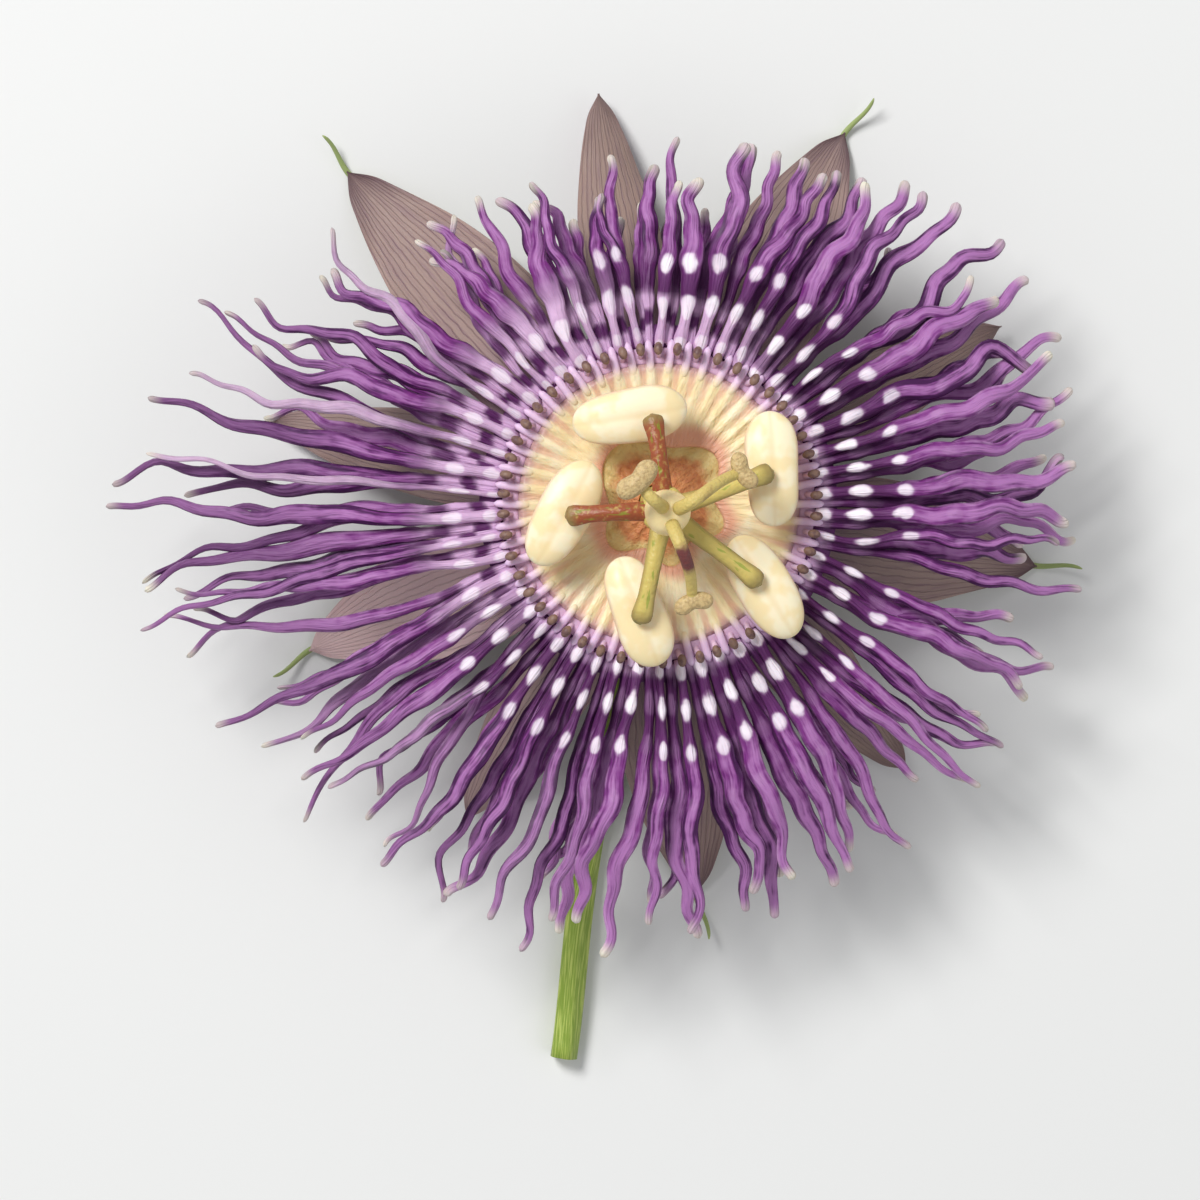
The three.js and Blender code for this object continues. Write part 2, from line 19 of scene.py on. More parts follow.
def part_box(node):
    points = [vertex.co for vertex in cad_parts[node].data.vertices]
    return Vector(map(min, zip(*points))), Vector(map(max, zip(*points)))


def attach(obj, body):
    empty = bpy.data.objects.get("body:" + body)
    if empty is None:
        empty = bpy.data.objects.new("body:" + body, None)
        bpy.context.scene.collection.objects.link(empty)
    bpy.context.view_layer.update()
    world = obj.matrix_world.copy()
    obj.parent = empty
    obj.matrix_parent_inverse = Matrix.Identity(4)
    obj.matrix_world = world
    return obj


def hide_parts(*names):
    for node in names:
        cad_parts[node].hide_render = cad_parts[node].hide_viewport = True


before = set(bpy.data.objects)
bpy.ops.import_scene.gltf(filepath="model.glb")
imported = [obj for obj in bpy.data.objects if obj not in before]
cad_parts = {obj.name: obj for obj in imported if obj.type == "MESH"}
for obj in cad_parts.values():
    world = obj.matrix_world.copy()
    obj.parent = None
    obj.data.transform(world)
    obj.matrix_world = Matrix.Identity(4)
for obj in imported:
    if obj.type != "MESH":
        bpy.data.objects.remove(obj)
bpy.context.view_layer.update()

Array = np.ndarray
Colour = tuple[float, float, float, float]
Layers = dict[str, Any]
Place = tuple[float, float, float]
Material = bpy.types.Material

MM = 0.001
CORNER_POINTS = 12
UP = np.array([0.0, 0.0, 1.0])
AXIS = np.sum(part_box("ovary"), axis=0) / 2 / MM * [1, 1, 0]

log = logging.getLogger("passion_flower")


# ---- numbers ----

def mix(start: Any, end: Any, share: Any) -> Any:
    """The value that lies this share of the way from start to end."""
    return start + (end - start) * share


def smooth(low: float, high: float, value: Any) -> Array:
    """A soft step from 0 at low to 1 at high: 3t^2 - 2t^3 of the share t between them."""
    share = np.clip((value - low) / (high - low), 0.0, 1.0)
    return share * share * (3 - 2 * share)


def wave(turns: Any) -> Any:
    """The sine of an angle given in whole turns."""
    return np.sin(2 * math.pi * turns)


def arch(share: Any) -> Any:
    """Half a sine: 0 at the shares 0 and 1, and 1 halfway."""
    return np.sin(math.pi * share)


def hump(value: Any) -> Any:
    """exp(-x^2): 1 at 0, falling off on both sides."""
    return np.exp(-value ** 2)


def bulge(share: Array, power: float, least: float) -> Array:
    """The root of 1 - |share|^power, and at least that of least, for ends that close round."""
    return np.sqrt(np.clip(1 - np.abs(share) ** power, least, 1))


def polar(radius: Any, degrees: Any, height: Any) -> Array:
    """Points at these distances from the axis, in these directions, at these heights."""
    level = radius * np.cos(np.radians(degrees)), radius * np.sin(np.radians(degrees))
    return np.stack(np.broadcast_arrays(*level, height), axis=-1)


def unit(vectors: Array) -> Array:
    """The same vectors at length 1."""
    return vectors / np.maximum(np.linalg.norm(vectors, axis=-1, keepdims=True), 1e-9)


def lengths(line: Array) -> Array:
    """The distance along a line to each of its points."""
    return np.concatenate([[0], np.cumsum(np.linalg.norm(np.diff(line, axis=0), axis=1))])


def turn_between(degrees: Any, direction: Any) -> Any:
    """The signed turn from a direction to these angles, from -180 to 180 degrees."""
    return (degrees - direction + 540.0) % 360.0 - 180.0


def bell(degrees: Any, direction: float, width: float) -> Any:
    """A hump over the turn from a direction, with its width in degrees."""
    return hump(turn_between(degrees, direction) / width)


def compass(steps: int) -> Array:
    """So many directions in degrees, evenly once round, as a column."""
    return 360.0 * np.arange(steps)[:, None] / steps


def round_angles(count: int) -> Array:
    """So many angles in radians, evenly once round."""
    return 2 * math.pi * np.arange(count) / count


def rounded_box(sides: int, *powers: float) -> tuple[Array, Array]:
    """The cosine and the sine once round, each raised to its power with its sign kept."""
    parts = np.cos(round_angles(sides)), np.sin(round_angles(sides))
    return tuple(np.sign(part) * np.abs(part) ** power for part, power in zip(parts, powers))


def repeatable(seed: int, count: int) -> Array:
    """Numbers from 0 to 1 that are the same on every run.

    Args:
        seed: where the row of numbers starts.
        count: how many numbers are wanted.

    Returns:
        The numbers, each the scrambled bits of a steadily growing 32-bit count.
    """
    mask = 0xFFFFFFFF
    state, numbers = seed, []
    for _ in range(count):
        state = (state + 0x6D2B79F5) & mask
        bits = ((state ^ (state >> 15)) * (1 | state)) & mask
        bits = ((bits + (((bits ^ (bits >> 7)) * (61 | bits)) & mask)) & mask) ^ bits
        numbers.append((bits ^ (bits >> 14)) / (mask + 1))
    return np.array(numbers)


# ---- skins ----

@dataclass
class Skin:
    """A closed surface: points in mm, four- and three-sided faces, and values at the points."""

    points: Array
    quads: Array
    tris: Array
    layers: Layers


def tubes(rings: Array, layers: Layers, endless: bool = False) -> Skin:
    """Skins over rows of rings.

    Args:
        rings: points by tube, station and side.
        layers: values by tube, station and side, or that spread to that shape.
        endless: whether each tube's last ring meets its first. Otherwise a fan to the middle
            of the end ring closes either end.

    Returns:
        One skin that holds all the tubes. Its faces are reversed if the volume that they
        enclose, the sum of a . (b x c) over its triangles, comes out negative.
    """
    shape = rings.shape[:3]
    net = np.arange(np.prod(shape)).reshape(shape)
    ahead = np.roll(net, -1, axis=2)
    quads = np.stack([net, ahead, np.roll(ahead, -1, axis=1), np.roll(net, -1, axis=1)], axis=-1)
    tris = np.zeros((0, 3), int)
    if not endless:
        quads, heads = quads[:, :-1], net.size + np.arange(shape[0])[:, None] + 0 * net[:, 0]
        tris = np.concatenate([np.stack([ahead[:, 0], net[:, 0], heads], axis=-1),
                               np.stack([net[:, -1], ahead[:, -1], heads + shape[0]], axis=-1)])

    def by_point(values: Array, width: int) -> Array:
        """Puts values in the order of the points.

        Args:
            values: values by tube, station and side, each a row of numbers.
            width: how many numbers a row has.

        Returns:
            The rows by point, with the mean of each end ring for its pole.
        """
        values = np.broadcast_to(values, (*shape, width))
        poles = [] if endless else [values[:, end].mean(axis=1) for end in (0, -1)]
        return np.concatenate([values.reshape(-1, width), *poles])

    points, quads, tris = by_point(rings, 3), quads.reshape(-1, 4), tris.reshape(-1, 3)
    a, b, c = points[np.concatenate([quads[:, [0, 1, 2]], quads[:, [0, 2, 3]], tris]).T]
    if np.einsum("ij,ij->", a, np.cross(b, c)) < 0:
        quads, tris = quads[:, ::-1], tris[:, ::-1]
    return Skin(points, quads, tris, {name: by_point(np.asarray(value, float)[..., None], 1)[:, 0]
                                      for name, value in layers.items()})


def together(*skins: Skin) -> Skin:
    """Joins skins.

    Args:
        skins: the skins, in order.

    Returns:
        One skin, with 0 where one of them lacks a layer that another has.
    """
    starts = np.cumsum([0] + [len(skin.points) for skin in skins])
    quads, tris = (np.concatenate([faces + start for faces, start in zip(kind, starts)])
                   for kind in zip(*((skin.quads, skin.tris) for skin in skins)))
    return Skin(np.concatenate([skin.points for skin in skins]), quads, tris,
                {name: np.concatenate([skin.layers.get(name, np.zeros(len(skin.points)))
                                       for skin in skins])
                 for name in sorted({name for skin in skins for name in skin.layers})})


def swept(centres: Array, sideways: Array, outwards: Array, up: Array = UP,
          roll: Any = 0.0) -> Array:
    """Rings round lines, from each ring's own distances sideways and outwards.

    Args:
        centres: points by line and station.
        sideways: distances by line, station and side, or that spread to it.
        outwards: distances the other way, in the same shape.
        up: the way that the lines' upper side faces, as one vector or one by line.
        roll: angle in radians that turns each ring in its plane.

    Returns:
        Points centre + s side + o outward, with s and o turned by the roll. For the line's
        direction t, side is the unit vector of up x t, and outward is t x side.
    """
    along = unit(np.gradient(centres, axis=1))
    side = unit(np.cross(np.broadcast_to(up, along.shape), along))
    cosine, sine = np.cos(roll), np.sin(roll)
    turned = sideways * cosine - outwards * sine, sideways * sine + outwards * cosine
    return (centres[:, :, None] + turned[0][..., None] * side[:, :, None]
            + turned[1][..., None] * np.cross(along, side)[:, :, None])


def ovals(centres: Array, wide: Array, thick: Array, sides: int, layers: Layers,
          up: Array = UP) -> Skin:
    """Tubes of oval section round lines.

    Args:
        centres: points by line and station.
        wide: half the width by line, station and side, or that spreads to it.
        thick: half the thickness in the same shape.
        sides: points once round a section.
        layers: values at the points.
        up: the way that the lines' upper side faces.

    Returns:
        The skin over the rings (wide * cos, thick * sin).
    """
    angle = round_angles(sides)
    return tubes(swept(centres, wide * np.cos(angle), thick * np.sin(angle), up), layers)


def lathe(profile: list[tuple[float, float]], steps: int, rows: int,
          ripple: Callable[[Array, Array], Array]) -> Array:
    """Rings of a body of revolution, for tubes.

    Args:
        profile: radius and height of its outline, from the bottom up.
        steps: points once round.
        rows: rings from bottom to top, evenly spaced along the outline.
        ripple: factor on the radius, from the share of the way up and the angle in radians.

    Returns:
        Points of one tube by row and step, its outline's corners rounded by a running mean.
    """
    outline, share, angle = np.array(profile, float), np.linspace(0, 1, rows), round_angles(steps)
    run = lengths(outline)
    radius, height = (np.interp(share * run[-1], run, column) for column in outline.T)
    for values in (radius, height):
        values[1:-1] = (values[:-2] + 2 * values[1:-1] + values[2:]) / 4
    radius = radius[:, None] * ripple(share[:, None], angle)
    return polar(radius, np.degrees(angle), height[:, None])[None]


def ring_skin(outline: list[tuple[Any, Any]], steps: int, rounding: int, layers: Layers,
              span: tuple[Any, Any] | None = None) -> Skin:
    """A ring round the axis.

    Args:
        outline: radius and height of its section's corners, as numbers or columns by step.
        steps: steps once round.
        rounding: passes of a running mean that round the section's corners.
        layers: values at its points, as numbers or columns.
        span: the radii between which a layer called way runs from 0 to 1.

    Returns:
        The skin, its section drawn out to CORNER_POINTS points a corner. With a span it also
        has its direction in layers called east and north.
    """
    degrees, count = compass(steps), len(outline)
    corners = np.concatenate([np.stack(np.broadcast_arrays(*corner, degrees)[:2], axis=-1)
                              for corner in outline], axis=1)
    spot = np.linspace(0, count, CORNER_POINTS * count, endpoint=False)
    low = spot.astype(int)
    section = mix(corners[:, low], np.roll(corners, -1, axis=1)[:, low], (spot - low)[:, None])
    for _ in range(rounding):
        section = (np.roll(section, 1, axis=1) + 2 * section + np.roll(section, -1, axis=1)) / 4
    radius, height = section[..., 0], section[..., 1]
    if span:
        layers = layers | {"way": (radius - span[0]) / (span[1] - span[0]),
                           "east": np.cos(np.radians(degrees)), "north": np.sin(np.radians(degrees))}
    return tubes(polar(radius, degrees, height)[None], layers, endless=True)


# ---- shader maths ----

def srgb(*values: int) -> Colour:
    """A colour as a shader takes it, from its display values from 0 to 255."""
    shares = (value / 255 for value in values)
    return (*(s / 12.92 if s <= 0.04045 else ((s + 0.055) / 1.055) ** 2.4 for s in shares), 1.0)


def maths(operation: str, reflected: bool = False) -> Callable[..., "Wire"]:
    """Makes an operator of wires.

    Args:
        operation: the Math node's operation.
        reflected: whether the other value comes first, as in 1 - mask.

    Returns:
        A function that adds the node to the wire's recipe.
    """
    def operator(wire: "Wire", *others: Any) -> "Wire":
        """The result of the Math node on a wire and any other value."""
        values = (*others, wire) if reflected else (wire, *others)
        return wire.recipe.node("ShaderNodeMath", {"operation": operation}, dict(enumerate(values)))

    return operator


class Wire:
    """A shader socket in sums: each operator adds the Math node that works it out."""

    def __init__(self, recipe: "Recipe", socket: bpy.types.NodeSocket | None) -> None:
        """Holds a socket and the recipe that its nodes belong to."""
        self.recipe, self.socket = recipe, socket

    __add__ = __radd__ = maths("ADD")
    __mul__ = __rmul__ = maths("MULTIPLY")
    __sub__, __rsub__ = maths("SUBTRACT"), maths("SUBTRACT", reflected=True)
    __truediv__, __rtruediv__ = maths("DIVIDE"), maths("DIVIDE", reflected=True)
    __pow__, __rpow__ = maths("POWER"), maths("POWER", reflected=True)
    size, sine, larger = maths("ABSOLUTE"), maths("SINE"), maths("MAXIMUM")

    def rise(self, low: float, high: float) -> "Wire":
        """A soft step from 0 at low to 1 at high."""
        return self.recipe.node("ShaderNodeMapRange", {"interpolation_type": "SMOOTHSTEP"},
                                {"Value": self, "From Min": low, "From Max": high})

    def fall(self, low: float, high: float) -> "Wire":
        """A soft step from 1 at low to 0 at high."""
        return 1 - self.rise(low, high)


class Recipe:
    """A material being put together from nodes."""

    def __init__(self, name: str) -> None:
        """Starts an empty material.

        Args:
            name: the material's name.
        """
        self.material = bpy.data.materials.new(name)
        self.material.use_nodes = True
        self.tree = self.material.node_tree
        self.tree.nodes.clear()

    def node(self, kind: str, settings: dict[str, Any], inputs: dict[Any, Any],
             output: int | str = 0) -> Wire:
        """Adds a node.

        Args:
            kind: the node's type.
            settings: its properties, set before anything else.
            inputs: numbers, colours or wires by socket name or number.
            output: the socket whose value is wanted.

        Returns:
            That output as a wire, without a socket where the node has no output.
        """
        made = self.tree.nodes.new(kind)
        for key, value in settings.items():
            setattr(made, key, value)
        for key, value in inputs.items():
            if isinstance(value, Wire):
                self.tree.links.new(value.socket, made.inputs[key])
            else:
                made.inputs[key].default_value = value
        return Wire(self, made.outputs[output] if made.outputs else None)

    def layer(self, name: str) -> Wire:
        """The value that the mesh carries at its points under this name."""
        return self.node("ShaderNodeAttribute", {"attribute_name": name}, {}, "Fac")

    def noise(self, scale: float, detail: float = 2.0, *over: Any, roughness: float = 0.5) -> Wire:
        """Soft random values.

        Args:
            scale: how fine their grain is.
            detail: how many layers of finer grain they have.
            over: coordinates. Without any they run over the place in the frame, in metres.
            roughness: how strong the finer layers are.

        Returns:
            Values round 0.5.
        """
        where = (self.node("ShaderNodeCombineXYZ", {}, dict(enumerate(over))) if over
                 else self.node("ShaderNodeTexCoord", {}, {}, "Object"))
        return self.node("ShaderNodeTexNoise", {}, {"Vector": where, "Scale": scale,
                                                    "Detail": detail, "Roughness": roughness})

    def coats(self, base: Any, *coats: tuple[Any, Any]) -> Any:
        """Lays colours over a base in turn.

        Args:
            base: the first colour.
            coats: each further colour with its mask.

        Returns:
            The colour with each coat where its mask is 1.
        """
        for colour, mask in coats:
            base = self.node("ShaderNodeMix", {"data_type": "RGBA"}, {0: mask, 6: base, 7: colour}, 2)
        return base

    def flesh(self, relief: Wire, depth: float, weight: float, sink: float = 1.0,
              shine: float = 0.4) -> dict[str, Any]:
        """Shader values of living tissue.

        Args:
            relief: the height of its grain from 0 to 1.
            depth: what a height of 1 measures in mm.
            weight: how much light sinks in.
            sink: how deep it sinks in mm.
            shine: how strongly the surface mirrors.

        Returns:
            Values and links by socket.
        """
        bump = {"Height": relief, "Distance": depth * MM, "Strength": 1.0}
        return {"Normal": self.node("ShaderNodeBump", {}, bump), "Subsurface Weight": weight,
                "Subsurface Radius": (1.0, 0.6, 0.45), "Subsurface Scale": sink * MM,
                "Specular IOR Level": shine}

    def finished(self, colour: Any, roughness: Any, others: dict[str, Any] | None = None) -> Material:
        """Closes the recipe with the surface shader.

        Args:
            colour: what feeds Base Color.
            roughness: what feeds Roughness.
            others: what the other sockets get, if not their own values.

        Returns:
            The material.
        """
        shader = self.node("ShaderNodeBsdfPrincipled", {},
                           {"Base Color": colour, "Roughness": roughness, **(others or {})})
        self.node("ShaderNodeOutputMaterial", {}, {"Surface": shader})
        return self.material


# ---- pieces ----

class Slot(Enum):
    """Names of material slots."""

    STALK = "stalk_green"
    BRACT = "bract_green"
    SEPAL = "sepal_pink"
    PETAL = "petal_mauve"
    DISC = "disc_cream"
    OPERCULUM = "operculum_brown"
    SHORT_CORONA = "inner_corona_brown"
    LONG_CORONA = "corona_purple"
    COLUMN = "column_olive"
    ANTHER = "anther_cream"
    OVARY = "ovary_cream"
    STYLE = "style_olive"


def placed(name: str, data: bpy.types.ID) -> bpy.types.Object:
    """Puts a mesh, lamp or camera into the scene.

    Args:
        name: the object's name.
        data: what it shows.

    Returns:
        The object, at the origin.
    """
    thing = bpy.data.objects.new(name, data)
    bpy.context.scene.collection.objects.link(thing)
    return thing


def as_piece(name: str, skin: Skin, node: str, material: Material) -> None:
    """Makes a skin a piece of the bloom, its object at the origin and its place in its mesh.

    Args:
        name: the piece's name.
        skin: its shape in mm round the flower's axis.
        node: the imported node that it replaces.
        material: its finish.
    """
    mesh = bpy.data.meshes.new(name)
    points = skin.points + AXIS
    points[:, 2] = np.maximum(points[:, 2], 0.0)
    mesh.vertices.add(len(points))
    mesh.vertices.foreach_set("co", (points * MM).ravel())
    corners = np.concatenate([skin.quads.ravel(), skin.tris.ravel()]).astype(np.int32)
    totals = np.repeat([4, 3], [len(skin.quads), len(skin.tris)]).astype(np.int32)
    mesh.loops.add(len(corners))
    mesh.loops.foreach_set("vertex_index", corners)
    mesh.polygons.add(len(totals))
    mesh.polygons.foreach_set("loop_start", (np.cumsum(totals) - totals).astype(np.int32))
    mesh.polygons.foreach_set("use_smooth", np.ones(len(totals), bool))
    mesh.update(calc_edges=True)
    for layer, values in skin.layers.items():
        mesh.attributes.new(layer, "FLOAT", "POINT").data.foreach_set(
            "value", values.astype(np.float32))
    mesh.materials.append(material)
    piece = placed(name, mesh)
    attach(piece, "root")
    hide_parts(node)
    log.info("%s: %d faces for %s", name, len(totals), node)


# ---- stalk and calyx cup ----

@dataclass(frozen=True)
class StalkFinish:
    """Smooth yellow-green rind with paler streaks, whiter at the cut and speckled on the cup."""

    green: Colour = srgb(126, 150, 52)
    light: Colour = srgb(176, 190, 96)
    flush: Colour = srgb(128, 92, 78)
    cut: Colour = srgb(214, 216, 170)

    def material(self) -> Material:
        """Mixes the finish.

        Returns:
            Long streaks along the stalk, a reddish flush in patches, and a pale cut face.
        """
        recipe = Recipe("stalk_rind")
        along, around, cut = map(recipe.layer, ("along", "around", "cut"))
        streaks = recipe.noise(2.2, 3, around * 3, along * 0.12)
        colour = recipe.coats(self.green, (self.light, streaks.rise(0.42, 0.68)),
                              (self.flush, recipe.noise(260, 3).rise(0.6, 0.8) * 0.5),
                              (self.cut, cut.rise(0.3, 0.9)))
        relief = streaks * 0.6 + recipe.noise(1500) * 0.4
        return recipe.finished(colour, streaks * 0.2 + 0.36, recipe.flesh(relief, 0.12, 0.08))


@dataclass
class Stalk:
    """The stalk with the calyx cup that it swells into.

    It hangs from the cup, bends sideways and lies along the surface to its cut end.
    """

    radius: float = 1.5
    end: Place = (-9.0, -61.0, 0.0)
    bend: float = 7.0
    sway: float = 2.2
    sunk: float = 0.08
    top: float = 11.9
    drop_rows: int = 6
    bend_rows: int = 18
    lying_rows: int = 46
    ribs: int = 5
    rib_depth: float = 0.045
    swelling: float = 0.55
    swelling_length: float = 2.6
    sides: int = 40
    cup_base: float = 10.4
    cup_top: float = 18.9
    cup_lobe_depth: float = 0.012
    cup_rib_depth: float = 0.008
    cup_steps: int = 180
    cup_rows: int = 70
    finish: StalkFinish = StalkFinish()

    def line(self) -> Array:
        """Finds the stalk's middle.

        Returns:
            Points down a straight drop, a quarter circle of the bend's radius, and a run to
            the cut end that sways sideways by sway * sin(2 pi share) * (1 - share).
        """
        run = math.hypot(*self.end)
        away = np.array(self.end) / run
        lie = self.radius - self.sunk
        turn = lie + self.bend
        drop = UP * np.linspace(self.top, turn, self.drop_rows, endpoint=False)[:, None]
        angle = np.linspace(0, math.pi / 2, self.bend_rows)[:, None]
        arc = away * self.bend * (1 - np.cos(angle)) + UP * (turn - self.bend * np.sin(angle))
        share = np.linspace(self.bend / run, 1, self.lying_rows)[1:, None]
        swing = self.sway * wave(share) * (1 - share) * smooth(0.12, 0.3, share)
        lying = away * run * share + np.cross(UP, away) * swing + UP * lie
        return np.concatenate([drop, arc, lying])

    def stem(self) -> Skin:
        """Shapes the stalk.

        Returns:
            A tube that swells towards the cup by swelling * exp(-(along / its length)^2),
            ribbed by rib_depth * cos(ribs * angle), with a cut, chamfered end.
        """
        centres = self.line()
        cut_off = unit(centres[-1] - centres[-2]) * np.array([[0.02], [0.03], [0.035]])
        centres = np.concatenate([centres, centres[-1] + cut_off])
        along = lengths(centres)[:, None]
        swell = 1 + self.swelling * hump(along / self.swelling_length)
        swell[-3:, 0] = [0.97, 0.8, 0.35]
        angle = round_angles(self.sides)
        ribbed = 1 + self.rib_depth * np.cos(self.ribs * angle)
        radius = self.radius * swell * ribbed / (1 + self.rib_depth)
        return ovals(centres[None], radius, radius, self.sides,
                     {"along": along, "around": np.cos(angle) * 1.5, "cut": along >= along[-2]},
                     np.cross(unit(np.cross(UP, self.end)), [0.3, 0.1, 0.9]))

    def cup(self) -> Skin:
        """Shapes the cup.

        Returns:
            An outline turned round the axis, its radius waved by the cosines of 5 and of 30
            times the angle for lobes and fine ribs.
        """
        base, top, lobe, rib = self.cup_base, self.cup_top, self.cup_lobe_depth, self.cup_rib_depth
        outline = [(0.05, base - 0.6), (1.7, base - 0.5), (2.6, base), (5.6, base + 1.3),
                   (8.2, base + 3.5), (9.5, base + 6.2), (9.95, top - 0.5), (9.7, top - 0.05),
                   (9.0, top), (0.05, top)]

        def lobes(share: Array, angle: Array) -> Array:
            """Ribs that fade towards the top's middle."""
            fade = arch(np.clip(share * 1.35, 0, 1))
            return 1 + fade * (lobe * np.cos(5 * angle) + rib * np.cos(30 * angle) - lobe)

        rings = lathe(outline, self.cup_steps, self.cup_rows, lobes)
        around = np.cos(round_angles(self.cup_steps) * 9) * 1.5
        return tubes(rings, {"along": rings[..., 2] * 3, "around": around})

    def build(self) -> None:
        """Makes the piece."""
        as_piece("stalk_with_calyx_cup", together(self.stem(), self.cup()), "stalk_and_cup",
                 self.finish.material())


# ---- bracts, sepals and petals ----

@dataclass(frozen=True)
class LeafFinish:
    """The two faces of a bract, sepal or petal, with veins, margins, a deeper root that on sepals and
    petals is partly their own purple and partly painted shade under the corona, and painted light on
    the leaves at the lower left.
    """

    name: str
    inside: Colour
    veins: Colour
    outside: Colour
    margin: Colour
    # root: the root's colour; on sepals and petals a deeper purple that is partly their own and partly
    # painted shade under the corona
    root: Colour
    keel: Colour
    vein_count: float = 9.0
    tip: Colour = srgb(98, 72, 80)
    # painted light: a pale pink lift for the leaves at the lower left, which the corona shades
    blush: Colour = srgb(250, 216, 214)
    root_end: float = 0.45
    roughness: float = 0.55

    def material(self) -> Material:
        """Mixes the finish.

        Returns:
            Branching veins as bent stripes over the leaf, mottled by noise.
        """
        recipe = Recipe(self.name)
        along, across, blush, keel = map(recipe.layer, ("along", "across", "blush", "keel"))
        face = recipe.layer("face").rise(-0.25, 0.25)
        edge = across.size()
        grain = recipe.noise(3.4, 3, across * 7, along * 3, face)
        bent = edge * self.vein_count * (1.15 - along * 0.35) + recipe.noise(420, 3) * 0.8
        vein = (bent * math.pi).sine().size().fall(0.0, 0.42) * (1 - along * 0.4)
        inside = recipe.coats(
            self.inside, (self.veins, vein * 0.32 + grain.rise(0.4, 0.75) * 0.5),
            (self.tip, (along + grain * 0.1 + edge * 0.12).rise(0.9, 1.14) * 0.8),
            # The deeper root: partly the leaf's own purple, partly painted shade under the corona.
            (self.root, along.fall(self.root_end * 0.4, self.root_end) * 0.85),
            # Painted light lifts the leaves at the lower left out of the corona's shade.
            (self.blush, blush * (1 - vein * 0.25)))
        margin = edge.rise(0.45, 1.0) * 0.75 + grain.rise(0.5, 0.8) * 0.25
        colour = recipe.coats(self.outside, (self.margin, margin), (self.veins, vein * 0.22),
                              (inside, face), (self.keel, keel.rise(0.2, 0.8)))
        return recipe.finished(colour, grain * 0.2 + self.roughness - 0.1,
                               recipe.flesh(grain * 0.5 - vein * 0.5, 0.18, 0.12, 0.6))


class LeafPlace(Enum):
    """Where each reflexed leaf lies: its direction and how far it reaches."""

    SEPAL_1 = (133.0, 47.0)
    SEPAL_2 = (205.0, 40.0)
    SEPAL_3 = (277.0, 44.0)
    SEPAL_4 = (349.0, 43.0)
    SEPAL_5 = (61.0, 44.0)
    PETAL_1 = (97.0, 43.0)
    PETAL_2 = (169.0, 41.0)
    PETAL_3 = (241.0, 40.0)
    PETAL_4 = (313.0, 41.0)
    PETAL_5 = (25.0, 42.0)


@dataclass
class ReflexedLeaf:
    """A sepal or petal that leaves the cup level, falls away most steeply halfway and ends flat.

    The midline runs out evenly and falls by (1 - cos(pi along)) / 2. The half width is a
    straight taper plus half_width * sin(pi along^0.9), laid round the axis.
    """

    place: LeafPlace
    title: str
    slot: Slot
    half_width: float
    thickness: float
    base_height: float
    tip_height: float
    base_share: float
    tip_width: float
    start: float = 10.35
    rows: int = 80
    tip_rows: int = 10
    sides: int = 44

    def midline(self, along: Array) -> tuple[Array, Array]:
        """Distance out and height of the midline."""
        fall = (1 - np.cos(math.pi * along)) / 2
        return (mix(self.start, self.place.value[1], along),
                mix(self.base_height, self.tip_height, fall))

    def spread(self, along: Array) -> Array:
        """Half the width, closed round at the tip."""
        taper = mix(self.half_width * self.base_share, self.tip_width, along)
        return ((taper + self.half_width * arch(along ** 0.9))
                * bulge(smooth(0.9, 1.0, along), 2, 0.02))

    def lift(self, along: Array, across: Array) -> Array:
        """How far its hollow or waves lift the leaf off the midline: a plain one lies flat."""
        return 0 * along * across

    def blade(self) -> Skin:
        """Shapes the blade.

        Returns:
            Flat rounded-box sections, closer at the tip, whose points stand off the midline,
            square to its slope, by the lift and by face * thickness / 2.
        """
        tip = np.sin(np.linspace(0.1, 1, self.tip_rows) * math.pi / 2)
        along = np.concatenate([np.linspace(0, 0.94, self.rows), 0.94 + 0.06 * tip])[:, None]
        across, face = rounded_box(self.sides, 0.8, 0.7)
        radius, height = self.midline(along)
        slope = np.gradient(height[:, 0], radius[:, 0])[:, None]
        steep = np.sqrt(1 + slope ** 2)
        thick = self.thickness * mix(1.0, 0.55, np.abs(across) ** 2) * mix(1.0, 0.6, along)
        offset = self.lift(along, across) + face * thick / 2
        turn = self.place.value[0] + np.degrees(across * self.spread(along) / radius)
        points = polar(radius - slope / steep * offset, turn, height + offset / steep)
        # The painted light is strongest on the leaves that point towards 212 degrees.
        return tubes(points[None], {"along": along, "across": across, "face": face,
                                    "blush": 0.75 * bell(self.place.value[0], 212.0, 30.0)})

    def skin(self) -> Skin:
        """The whole leaf."""
        return self.blade()

    def build(self, material: Material) -> None:
        """Makes the piece."""
        as_piece(f"{self.title}_{self.place.name[-1]}", self.skin(), self.place.name.lower(),
                 material)


